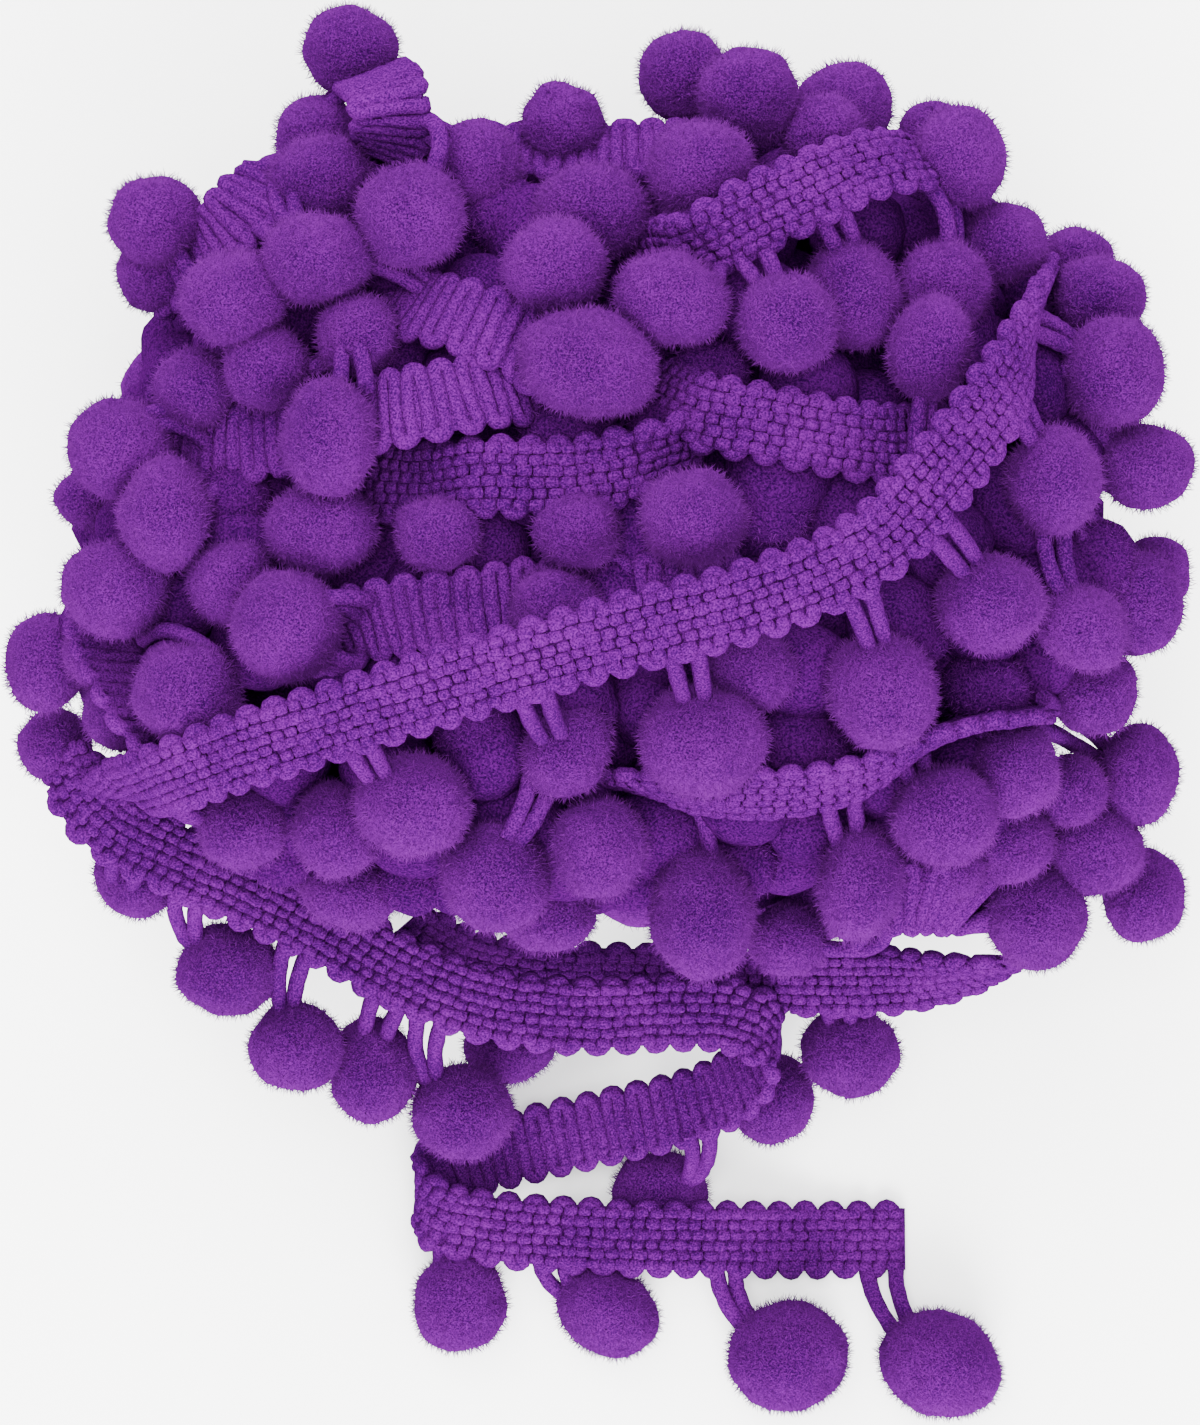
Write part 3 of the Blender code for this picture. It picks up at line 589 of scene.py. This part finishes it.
def pushOut(tree, geometry, height, scale):
    # moves a surface in and out along its normal by a noise
    noiseNode = addNode(tree, "ShaderNodeTexNoise", noise_dimensions="3D")
    noiseNode.inputs["Detail"].default_value = 1.0
    place = addNode(tree, "GeometryNodeInputPosition")
    normal = addNode(tree, "GeometryNodeInputNormal")
    centred = addNode(tree, "ShaderNodeMath", operation="SUBTRACT")
    centred.inputs[1].default_value = 0.5
    scaled = addNode(tree, "ShaderNodeMath", operation="MULTIPLY")
    offset = addNode(tree, "ShaderNodeVectorMath", operation="SCALE")
    moved = addNode(tree, "GeometryNodeSetPosition")
    tree.links.new(place.outputs["Position"], noiseNode.inputs["Vector"])
    tree.links.new(scale, noiseNode.inputs["Scale"])
    tree.links.new(noiseNode.outputs["Fac"], centred.inputs[0])
    tree.links.new(centred.outputs[0], scaled.inputs[0])
    tree.links.new(height, scaled.inputs[1])
    tree.links.new(normal.outputs["Normal"], offset.inputs[0])
    tree.links.new(scaled.outputs[0], offset.inputs["Scale"])
    tree.links.new(geometry, moved.inputs["Geometry"])
    tree.links.new(offset.outputs["Vector"], moved.inputs["Offset"])
    return moved.outputs["Geometry"]


def attribute(tree, name):
    node = addNode(tree, "GeometryNodeInputNamedAttribute", data_type="FLOAT_VECTOR")
    node.inputs["Name"].default_value = name
    return node.outputs["Attribute"]


def knotTree():
    # a knot is a block with its edges rounded off
    tree, start, end = newTree("knitKnots", (
        ("Round", "NodeSocketFloat", tape["knotRound"]), ("Material", "NodeSocketMaterial", None),
    ))
    block = addNode(tree, "GeometryNodeMeshCube")
    block.inputs["Size"].default_value = (2.0, 2.0, 2.0)
    for axis in ("Vertices X", "Vertices Y", "Vertices Z"):
        block.inputs[axis].default_value = 3
    place = addNode(tree, "GeometryNodeInputPosition")
    onSphere = addNode(tree, "ShaderNodeVectorMath", operation="NORMALIZE")
    mixed = addNode(tree, "ShaderNodeMix", data_type="VECTOR")
    bead = addNode(tree, "GeometryNodeSetPosition")
    tree.links.new(place.outputs["Position"], onSphere.inputs[0])
    tree.links.new(start.outputs["Round"], mixed.inputs[0])
    tree.links.new(place.outputs["Position"], mixed.inputs[4])
    tree.links.new(onSphere.outputs["Vector"], mixed.inputs[5])
    tree.links.new(block.outputs["Mesh"], bead.inputs["Geometry"])
    tree.links.new(mixed.outputs[1], bead.inputs["Position"])
    spread = addNode(tree, "GeometryNodeInstanceOnPoints")
    turned = addNode(tree, "FunctionNodeEulerToRotation")
    tree.links.new(start.outputs["Geometry"], spread.inputs["Points"])
    tree.links.new(bead.outputs["Geometry"], spread.inputs["Instance"])
    tree.links.new(attribute(tree, "turn"), turned.inputs[0])
    tree.links.new(turned.outputs[0], spread.inputs["Rotation"])
    tree.links.new(attribute(tree, "size"), spread.inputs["Scale"])
    finishTree(tree, start, end, spread.outputs["Instances"])
    return tree


def pompomTree():
    tree, start, end = newTree("pompomPile", (
        ("Detail", "NodeSocketInt", 4), ("Lump", "NodeSocketFloat", pile["lump"]),
        ("Tuft", "NodeSocketFloat", pile["tuft"]), ("Lump Scale", "NodeSocketFloat", pile["lumpScale"]),
        ("Tuft Scale", "NodeSocketFloat", pile["tuftScale"]), ("Material", "NodeSocketMaterial", None),
    ))
    form = addNode(tree, "GeometryNodeMeshIcoSphere")
    form.inputs["Radius"].default_value = 1.0
    spread = addNode(tree, "GeometryNodeInstanceOnPoints")
    turned = addNode(tree, "FunctionNodeEulerToRotation")
    real = addNode(tree, "GeometryNodeRealizeInstances")
    tree.links.new(start.outputs["Detail"], form.inputs["Subdivisions"])
    tree.links.new(start.outputs["Geometry"], spread.inputs["Points"])
    tree.links.new(form.outputs["Mesh"], spread.inputs["Instance"])
    tree.links.new(attribute(tree, "turn"), turned.inputs[0])
    tree.links.new(turned.outputs[0], spread.inputs["Rotation"])
    tree.links.new(attribute(tree, "size"), spread.inputs["Scale"])
    tree.links.new(spread.outputs["Instances"], real.inputs["Geometry"])
    moved = pushOut(tree, real.outputs["Geometry"], start.outputs["Lump"], start.outputs["Lump Scale"])
    moved = pushOut(tree, moved, start.outputs["Tuft"], start.outputs["Tuft Scale"])
    finishTree(tree, start, end, moved)
    return tree


def fibreTree():
    tree, start, end = newTree("pileFibres", (
        ("Density", "NodeSocketFloat", pile["density"]), ("Length", "NodeSocketFloat", pile["fibre"]),
        ("Thickness", "NodeSocketFloat", pile["fibreThick"]), ("Seed", "NodeSocketInt", 1),
        ("Lowest", "NodeSocketFloat", -1.0), ("Material", "NodeSocketMaterial", None),
    ))
    scatter = addNode(tree, "GeometryNodeDistributePointsOnFaces")
    normal = addNode(tree, "GeometryNodeInputNormal")
    parts = addNode(tree, "ShaderNodeSeparateXYZ")
    above = addNode(tree, "FunctionNodeCompare", data_type="FLOAT", operation="GREATER_THAN")
    tree.links.new(normal.outputs["Normal"], parts.inputs[0])
    tree.links.new(parts.outputs["Z"], above.inputs[0])
    tree.links.new(start.outputs["Lowest"], above.inputs[1])
    tree.links.new(above.outputs[0], scatter.inputs["Selection"])
    spike = addNode(tree, "GeometryNodeMeshCone", fill_type="NONE")
    spike.inputs["Vertices"].default_value = 3
    spike.inputs["Radius Top"].default_value = 0.0
    spread = addNode(tree, "GeometryNodeInstanceOnPoints")
    lean = addNode(tree, "FunctionNodeRandomValue", data_type="FLOAT_VECTOR")
    lean.inputs[0].default_value = (-0.7, -0.7, -3.0)
    lean.inputs[1].default_value = (0.7, 0.7, 3.0)
    grown = addNode(tree, "FunctionNodeRandomValue", data_type="FLOAT")
    grown.inputs[2].default_value = 0.45
    grown.inputs[3].default_value = 1.25
    leanTurn = addNode(tree, "FunctionNodeEulerToRotation")
    turned = addNode(tree, "FunctionNodeRotateRotation", rotation_space="LOCAL")
    tree.links.new(start.outputs["Geometry"], scatter.inputs["Mesh"])
    tree.links.new(start.outputs["Density"], scatter.inputs["Density"])
    tree.links.new(start.outputs["Seed"], scatter.inputs["Seed"])
    tree.links.new(start.outputs["Seed"], lean.inputs["Seed"])
    tree.links.new(start.outputs["Seed"], grown.inputs["Seed"])
    tree.links.new(start.outputs["Thickness"], spike.inputs["Radius Bottom"])
    tree.links.new(start.outputs["Length"], spike.inputs["Depth"])
    tree.links.new(scatter.outputs["Points"], spread.inputs["Points"])
    tree.links.new(spike.outputs["Mesh"], spread.inputs["Instance"])
    tree.links.new(lean.outputs["Value"], leanTurn.inputs[0])
    tree.links.new(scatter.outputs["Rotation"], turned.inputs[0])
    tree.links.new(leanTurn.outputs[0], turned.inputs[1])
    tree.links.new(turned.outputs[0], spread.inputs["Rotation"])
    tree.links.new(grown.outputs[1], spread.inputs["Scale"])
    finishTree(tree, start, end, spread.outputs["Instances"])
    return tree


def runTree(name, source, tree, values):
    # evaluates a tree on a source mesh and keeps the plain mesh that it gives
    made = bpy.data.objects.new(name, source)
    bpy.context.scene.collection.objects.link(made)
    modifier = made.modifiers.new("build", "NODES")
    modifier.node_group = tree
    for item in tree.interface.items_tree:
        if item.item_type == "SOCKET" and item.in_out == "INPUT" and item.name in values:
            modifier[item.identifier] = values[item.name]
    graph = bpy.context.evaluated_depsgraph_get()
    mesh = bpy.data.meshes.new_from_object(made.evaluated_get(graph))
    made.modifiers.clear()
    made.data = mesh
    mesh.name = name
    return made


def pointMesh(name, rows):
    # points that carry a size and a turn each
    mesh = bpy.data.meshes.new(name)
    mesh.from_pydata([row[0] for row in rows], [], [])
    turnData = mesh.attributes.new("turn", "FLOAT_VECTOR", "POINT")
    sizeData = mesh.attributes.new("size", "FLOAT_VECTOR", "POINT")
    for index, row in enumerate(rows):
        turnData.data[index].vector = row[1]
        sizeData.data[index].vector = row[2]
    return mesh


def pathMesh(name, paths):
    points = []
    edges = []
    for path in paths:
        first = len(points)
        points.extend(path)
        edges.extend((first + index, first + index + 1) for index in range(len(path) - 1))
    mesh = bpy.data.meshes.new(name)
    mesh.from_pydata(points, edges, [])
    return mesh


# materials

def yarnMaterial(name, dark, light, fine, bump, paintedRimHighlight):
    # mottled yarn: fine specks, wider patches, and a painted rim highlight that lightens the colour toward
    # grazing angles
    material = bpy.data.materials.new(name)
    material.use_nodes = True
    nodes = material.node_tree.nodes
    links = material.node_tree.links
    shader = nodes["Principled BSDF"]
    shader.inputs["Roughness"].default_value = 0.95
    shader.inputs["Specular IOR Level"].default_value = 0.0
    place = nodes.new("ShaderNodeTexCoord")
    speck = nodes.new("ShaderNodeTexNoise")
    speck.inputs["Scale"].default_value = fine
    speck.inputs["Detail"].default_value = 1.5
    speck.inputs["Roughness"].default_value = 0.7
    patch = nodes.new("ShaderNodeTexNoise")
    patch.inputs["Scale"].default_value = 95.0
    patch.inputs["Detail"].default_value = 2.0
    mixed = nodes.new("ShaderNodeMix")
    mixed.data_type = "FLOAT"
    mixed.inputs["Factor"].default_value = 0.2
    ramp = nodes.new("ShaderNodeValToRGB")
    middle = [(low + high) * 0.46 for low, high in zip(dark, light)]
    ramp.color_ramp.elements[0].position = 0.39
    ramp.color_ramp.elements[0].color = (*dark, 1.0)
    ramp.color_ramp.elements[1].position = 0.62
    ramp.color_ramp.elements[1].color = (*light, 1.0)
    ramp.color_ramp.elements.new(0.50).color = (*middle, 1.0)
    # painted rim highlight: the facing weight mixes the colour toward a lighter purple at the rim
    rim = nodes.new("ShaderNodeLayerWeight")
    rim.inputs["Blend"].default_value = 0.35
    sharper = nodes.new("ShaderNodeMath")
    sharper.operation = "MULTIPLY"
    sharper.inputs[1].default_value = paintedRimHighlight
    lit = nodes.new("ShaderNodeMix")
    lit.data_type = "RGBA"
    lit.inputs["B"].default_value = (light[0] * 1.5, light[1] * 2.5, light[2] * 1.45, 1.0)
    bead = nodes.new("ShaderNodeTexNoise")
    bead.inputs["Scale"].default_value = fine * 0.3
    bead.inputs["Detail"].default_value = 0.5
    relief = nodes.new("ShaderNodeMix")
    relief.data_type = "FLOAT"
    relief.inputs["Factor"].default_value = 0.6
    bumpNode = nodes.new("ShaderNodeBump")
    bumpNode.inputs["Strength"].default_value = bump
    bumpNode.inputs["Distance"].default_value = 0.0006
    links.new(place.outputs["Object"], speck.inputs["Vector"])
    links.new(place.outputs["Object"], patch.inputs["Vector"])
    links.new(speck.outputs["Fac"], mixed.inputs["A"])
    links.new(patch.outputs["Fac"], mixed.inputs["B"])
    links.new(mixed.outputs["Result"], ramp.inputs["Fac"])
    links.new(rim.outputs["Facing"], sharper.inputs[0])
    links.new(sharper.outputs[0], lit.inputs["Factor"])
    links.new(ramp.outputs["Color"], lit.inputs["A"])
    links.new(lit.outputs["Result"], shader.inputs["Base Color"])
    links.new(place.outputs["Object"], bead.inputs["Vector"])
    links.new(speck.outputs["Fac"], relief.inputs["A"])
    links.new(bead.outputs["Fac"], relief.inputs["B"])
    links.new(relief.outputs["Result"], bumpNode.inputs["Height"])
    links.new(bumpNode.outputs["Normal"], shader.inputs["Normal"])
    return material


def plainMaterial(name, colour, roughness):
    material = bpy.data.materials.new(name)
    material.use_nodes = True
    shader = material.node_tree.nodes["Principled BSDF"]
    shader.inputs["Base Color"].default_value = (*colour, 1.0)
    shader.inputs["Roughness"].default_value = roughness
    return material


knitYarn = yarnMaterial("knitYarn", (0.0138, 0.0, 0.0310), (0.0650, 0.0030, 0.1020), 4300.0, 0.8, 0.1)
pileYarn = yarnMaterial("pileYarn", (0.0092, 0.0, 0.0215), (0.0540, 0.0023, 0.0865), 4300.0, 0.8, 0.6)
# the fibres take a lighter colour than the pile they grow from: painted highlight for lit fibre tips and
# light through the fuzz
fibreYarnPaintedHighlight = yarnMaterial("fibreYarnPaintedHighlight", (0.0280, 0.0010, 0.0480), (0.0700, 0.0050, 0.1080), 900.0, 0.2, 0.3)
# a darker copy of the pile yarn: painted shade for pompoms deep in the ball, where less light reaches
paintedShadeYarn = yarnMaterial("paintedShadeYarn", (0.0080, 0.0, 0.0190), (0.0380, 0.0010, 0.0620), 3600.0, 0.8, 0.1)
print("materials made")

# camera, straight above, and the light

cameraData = bpy.data.cameras.new("camera")
cameraData.sensor_fit = "HORIZONTAL"
cameraData.sensor_width = 36.0
cameraData.lens = 36.0 * view["height"] / (1200 * view["scale"])
camera = bpy.data.objects.new("camera", cameraData)
middleY = -view["scale"] * (view["middleY"] - view["ballY"]) * (1.0 - ball["rim"] / view["height"])
camera.location = (0.0, middleY, view["height"])
bpy.context.scene.collection.objects.link(camera)
bpy.context.scene.camera = camera

lights = (
    {"name": "softTop", "at": (-0.10, 0.10, 2.6), "size": 1.2, "watts": 115.0},
    {"name": "softKey", "at": (-0.55, 1.30, 2.0), "size": 1.1, "watts": 64.0},
    {"name": "softFill", "at": (0.15, -1.80, 1.6), "size": 1.4, "watts": 100.0},
    {"name": "lowFront", "at": (0.05, -0.62, 0.34), "size": 0.4, "watts": 12.0},
    {"name": "lowBack", "at": (-0.05, 0.66, 0.40), "size": 0.4, "watts": 9.0},
)
for row in lights:
    lightData = bpy.data.lights.new(row["name"], "AREA")
    lightData.size = row["size"]
    lightData.energy = row["watts"]
    lamp = bpy.data.objects.new(row["name"], lightData)
    lamp.location = row["at"]
    lamp.rotation_euler = (Vector((0, middleY, 0.03)) - lamp.location).to_track_quat("-Z", "Y").to_euler()
    bpy.context.scene.collection.objects.link(lamp)
world = bpy.data.worlds.new("studio")
world.use_nodes = True
world.node_tree.nodes["Background"].inputs["Color"].default_value = (1.0, 1.0, 1.0, 1.0)
world.node_tree.nodes["Background"].inputs["Strength"].default_value = 3.2
bpy.context.scene.world = world

floorMesh = bpy.data.meshes.new("floor")
reach = 3.0
floorMesh.from_pydata(
    [(-reach, -reach, -0.0002), (reach, -reach, -0.0002), (reach, reach, -0.0002), (-reach, reach, -0.0002)],
    [], [(0, 1, 2, 3)],
)
floorMesh.materials.append(plainMaterial("paleFloor", (0.93, 0.93, 0.93), 0.9))
floor = bpy.data.objects.new("floor", floorMesh)
bpy.context.scene.collection.objects.link(floor)
print("camera, light and floor set")

cordSweep = cordTree()
knitKnots = knotTree()
pompomPile = pompomTree()
pileFibres = fibreTree()


def pompomRow(middle, width, height, flatten=1.0, slant=0):
    near = 1.0 - middle.z / view["height"]
    wide = width * view["scale"] / 2 * near - pile["fibre"] * 0.25
    tall = height * view["scale"] / 2 * near - pile["fibre"] * 0.25
    spin = math.radians(slant) + rng.uniform(-0.12, 0.12)
    turn = Vector((rng.uniform(-0.25, 0.25), rng.uniform(-0.25, 0.25), spin))
    return (middle, turn, Vector((wide, tall, (wide + tall) / 2 * flatten)))


def roundRow(middle, radius):
    turn = Vector((rng.uniform(-3, 3), rng.uniform(-3, 3), rng.uniform(-3, 3)))
    grown = rng.uniform(0.93, 1.07)
    return (middle, turn, Vector((radius, radius * rng.uniform(0.9, 1.0), radius)) * grown)


def levelAtFloor(made):
    for vert in made.data.vertices:
        if vert.co.z < 0.0:
            vert.co.z = 0.0


pieces = []


def keepPiece(made):
    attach(made, "root")
    pieces.append(made)
    return made


def makeTape(name, strips, knitStrips, held, fine=True):
    paths = []
    for rows in strips:
        covered = held == "laid" and any(rows is knit for knit in knitStrips)
        crossSteps = tape["crossSteps"] if covered else tape["ribSteps"]
        paths.append(weftPath(rows, crossSteps, tape["loopSteps"]) if fine else weftPath(rows, 2, 2))
    cords = runTree(name + "Weft", pathMesh(name, paths), cordSweep, {
        "Radius": tape["cord"], "Sides": tape["cordSides"] if fine else 5, "Fuzz": tape["fuzz"],
        "Grain": tape["grain"], "Material": knitYarn,
    })
    levelAtFloor(cords)
    keepPiece(cords)
    if knitStrips:
        knots = []
        for rows in knitStrips:
            knots.extend(knotRows(rows, tape["knotLift" if held == "laid" else "flatLift"]))
        knotPiece = runTree(name + "Knots", pointMesh(name, knots), knitKnots, {
            "Round": tape["knotRound"], "Material": knitYarn,
        })
        levelAtFloor(knotPiece)
        keepPiece(knotPiece)
    ground = bmesh.new()
    for rows in strips:
        groundFaces(ground, rows)
    bmesh.ops.recalc_face_normals(ground, faces=ground.faces)
    mesh = bpy.data.meshes.new(name + "Ground")
    ground.to_mesh(mesh)
    ground.free()
    mesh.shade_smooth()
    mesh.materials.append(knitYarn)
    groundPiece = bpy.data.objects.new(name + "Ground", mesh)
    bpy.context.scene.collection.objects.link(groundPiece)
    keepPiece(groundPiece)
    return groundPiece


def makePompoms(name, rows, density, detail, material, lowest=-1.0):
    made = runTree(name, pointMesh(name, rows), pompomPile, {
        "Detail": detail, "Lump": pile["lump"], "Tuft": pile["tuft"], "Material": material,
    })
    if density:
        fibres = runTree(name + "Fibres", made.data.copy(), pileFibres, {
            "Density": density, "Length": pile["fibre"], "Thickness": pile["fibreThick"], "Seed": seed,
            "Lowest": lowest, "Material": fibreYarnPaintedHighlight,
        })
        levelAtFloor(fibres)
        keepPiece(fibres)
    levelAtFloor(made)
    keepPiece(made)
    return made


# the turns on the ball

deepShare = 0.86  # deep pompoms lie nearer to the middle than this share of the plan
domeStrips = []
knitDomeStrips = []
frontRows = []
deepRows = []
middles = []
stalks = []


def stalkFor(rows, middle, aim=None):
    # a pompom's two cords come out from under the tape's lower edge
    aim = aim or middle
    places = [readStrip(rows, stalk["step"] * index) for index in range(int(rows[-1]["at"] / stalk["step"]))]
    places = places[stalk["endSteps"]:-stalk["endSteps"]]
    place, side, face = min(places, key=lambda found: (found[0] - aim).length)
    if (place - middle).length > stalk["reach"]:
        return
    root = place + side * (tape["width"] / 2 - stalk["under"]) - face * stalk["below"]
    stalks.extend(stalkPaths(root, side, middle, side.cross(face)))


for turn in turns + (lowestTurn,):
    kind = "lowest" if turn is lowestTurn else "dome"
    rows = turnStrip(turn["tape"], kind, turn.get("lean")) if turn["tape"] else None
    if rows:
        domeStrips.append(rows)
        if turn["face"] == "knit":
            knitDomeStrips.append(rows)
    for x, y, width, height, layer, *slant in turn["pompoms"]:
        middle = placeAt(x, y, layer * mm) if kind == "lowest" else onDome(x, y, -ball["levelDrop"] * layer)
        made = pompomRow(middle, width, height, slant=slant[0] if slant else 0)
        (deepRows if layer == 2 and planShare(middle) < deepShare else frontRows).append(made)
        middles.append((middle, max(made[2])))
        if rows:
            stalkFor(rows, middle)

for startX, startY, endX, endY, startLift, endLift, bow in looseLoops:
    start = onDome(startX, startY, startLift * mm)
    end = onDome(endX, endY, endLift * mm)
    along = (end - start).normalized()
    across = along.cross(outwardAt((start + end) / 2)).normalized()
    stalks.extend(stalkPaths(start, along + across * bow * mm / (end - start).length * 4, end, across))

freeRows = turnStrip(freeEnd, "free")
for row in freeRows:
    middles.append((row["place"], tape["width"] / 2))


def freeRow(entry):
    x, y, width, height, lift, rootX, rootY, *slant = entry
    middle = placeAt(x, y, lift * mm)
    radius = (width + height) / 4 * view["scale"]
    near = min(freeRows, key=lambda row: (row["place"] - placeAt(rootX, rootY, row["place"].z)).length)
    stalkFor(freeRows, middle, placeAt(rootX, rootY, near["place"].z))
    middles.append((middle, radius))
    flatten = min(1.0, lift * mm / radius * 1.05)
    return pompomRow(middle, width, height, flatten, slant[0] if slant else 0)


rimRows = [freeRow(entry) for entry in rimPompoms]
lyingRows = [freeRow(entry) for entry in freePompoms]

# fillers are the pompoms that the photo doesn't show: they stay under what it does show

def seenFrom(place):
    nearness = 1.0 - place.z / view["height"]
    return Vector((place.x, place.y - middleY)) / nearness


discs = [(seenFrom(middle), size) for middle, size in middles]
tapePoints = [(seenFrom(row["place"]), row["place"].z) for rows in domeStrips + [freeRows] for row in rows]


def staysHidden(middle, radius):
    seen = seenFrom(middle)
    for point, height in tapePoints:
        if (seen - point).length < radius + 0.42 * tape["width"] and middle.z + 0.55 * radius > height:
            return False
    if planShare(middle) < under["openFrom"]:
        return True
    outward = math.atan2(middle.y, middle.x)
    for turned in (-1.3, -0.65, 0.0, 0.65, 1.3):
        edge = seen + Vector((math.cos(outward + turned), math.sin(outward + turned))) * radius
        if not any((edge - disc).length < size * 1.02 for disc, size in discs):
            return False
    return True


def tuckIn(middle, radius):
    # draws a filler in and down until it is hidden, or gives it up
    place = middle.copy()
    for _ in range(under["pullSteps"]):
        if staysHidden(place, radius):
            return place
        place.x *= under["pull"]
        place.y *= under["pull"]
        place.z = max(place.z - under["pullDown"], ball["lowest"])
    return None


# the turns round the sides and underneath
bandStrips = [bandStrip(y) for y in under["bands"]]
sideRows = []
for index in range(under["count"]):
    low = (index + 0.5) / under["count"]
    height = max(ball["rim"] - ball["underDrop"] * low, ball["lowest"])
    radius = under["diameter"] / 2
    middle = tuckIn(ringPlace(golden * index, math.sqrt(1 - low * low), 0.0, height), radius)
    if middle and all((middle - other).length > under["packed"] * (radius + size) for other, size in middles):
        sideRows.append(roundRow(middle, radius))
        middles.append((middle, radius))
        near = min(bandStrips, key=lambda rows: min((row["place"] - middle).length for row in rows))
        stalkFor(near, middle)

# the deeper pompoms that show between the outer ones
innerRows = []
innerLowRows = []
for index in range(inner["count"]):
    z = 1 - 2 * (index + 0.5) / inner["count"]
    rise = ball["rise"] if z > 0 else ball["underDrop"]
    height = ball["rim"] + (rise - inner["inset"]) * z
    middle = ringPlace(golden * index, math.sqrt(1 - z * z), inner["inset"], height)
    middle.z = max(middle.z, ball["lowest"])
    middle = tuckIn(middle, inner["radius"])
    if middle:
        (innerRows if z > inner["lowFrom"] else innerLowRows).append(roundRow(middle, inner["radius"]))
print("fillers", len(sideRows), len(innerRows), len(innerLowRows))
print("read pompoms", len(frontRows), len(deepRows))

makeTape("ballTurns", domeStrips, knitDomeStrips, "laid")
makeTape("underTurns", bandStrips, [], "laid", fine=False)
freeTape = makeTape("freeEnd", [freeRows], [freeRows], "folded")
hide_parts("loose_tape")

half = len(frontRows) // 2
first = makePompoms("ballPompoms", frontRows[:half], pile["density"], pile["detail"], pileYarn, -0.2)
makePompoms("ballPompomsFurther", frontRows[half:], pile["density"], pile["detail"], pileYarn, -0.2)
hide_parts("wound_ball")
# the deep, inner and low inner pompoms take the darker yarn, as painted shade
makePompoms("deepPompoms", deepRows, pile["density"] * pile["deepDensity"], 3, paintedShadeYarn, 0.0)
makePompoms("sidePompoms", sideRows, pile["density"] * pile["sideDensity"], 3, pileYarn)
makePompoms("innerPompoms", innerRows, 0.0, 3, paintedShadeYarn)
makePompoms("lowInnerPompoms", innerLowRows, 0.0, 2, paintedShadeYarn)
rimPiece = makePompoms("rimPompoms", rimRows, pile["density"], pile["detail"], pileYarn, -0.3)
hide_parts("rim_row_left", "rim_row_front")
lying = makePompoms("freePompoms", lyingRows, pile["density"], pile["detail"], pileYarn, -0.4)
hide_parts("free_row_back", "free_row_left", "free_row_front")

stalkPiece = runTree("stalkLoops", pathMesh("stalkLoops", stalks), cordSweep, {
    "Radius": stalk["cord"], "Sides": stalk["sides"], "Fuzz": stalk["fuzz"], "Grain": stalk["grain"],
    "Material": knitYarn,
})
levelAtFloor(stalkPiece)
keepPiece(stalkPiece)

# the ball's heart, dark with painted shade: it takes the darker yarn so that the gaps between pompoms look
# shaded
heartRows = [(
    Vector((0, 0, ball["rim"] - 0.002)), Vector((0, 0, 0)),
    Vector((
        ball["wide"] - inner["heartInset"], ball["front"] - inner["heartInset"],
        (ball["rise"] + ball["underDrop"]) / 2 - inner["heartInset"] * 0.9,
    )),
)]
heart = runTree("ballHeart", pointMesh("ballHeart", heartRows), pompomPile, {
    "Detail": inner["heartDetail"], "Lump": inner["heartLump"], "Tuft": inner["heartTuft"],
    "Material": paintedShadeYarn,
})
levelAtFloor(heart)
keepPiece(heart)
triangles = {piece.name: sum(len(face.vertices) - 2 for face in piece.data.polygons) for piece in pieces}
print("triangles", triangles, sum(triangles.values()))
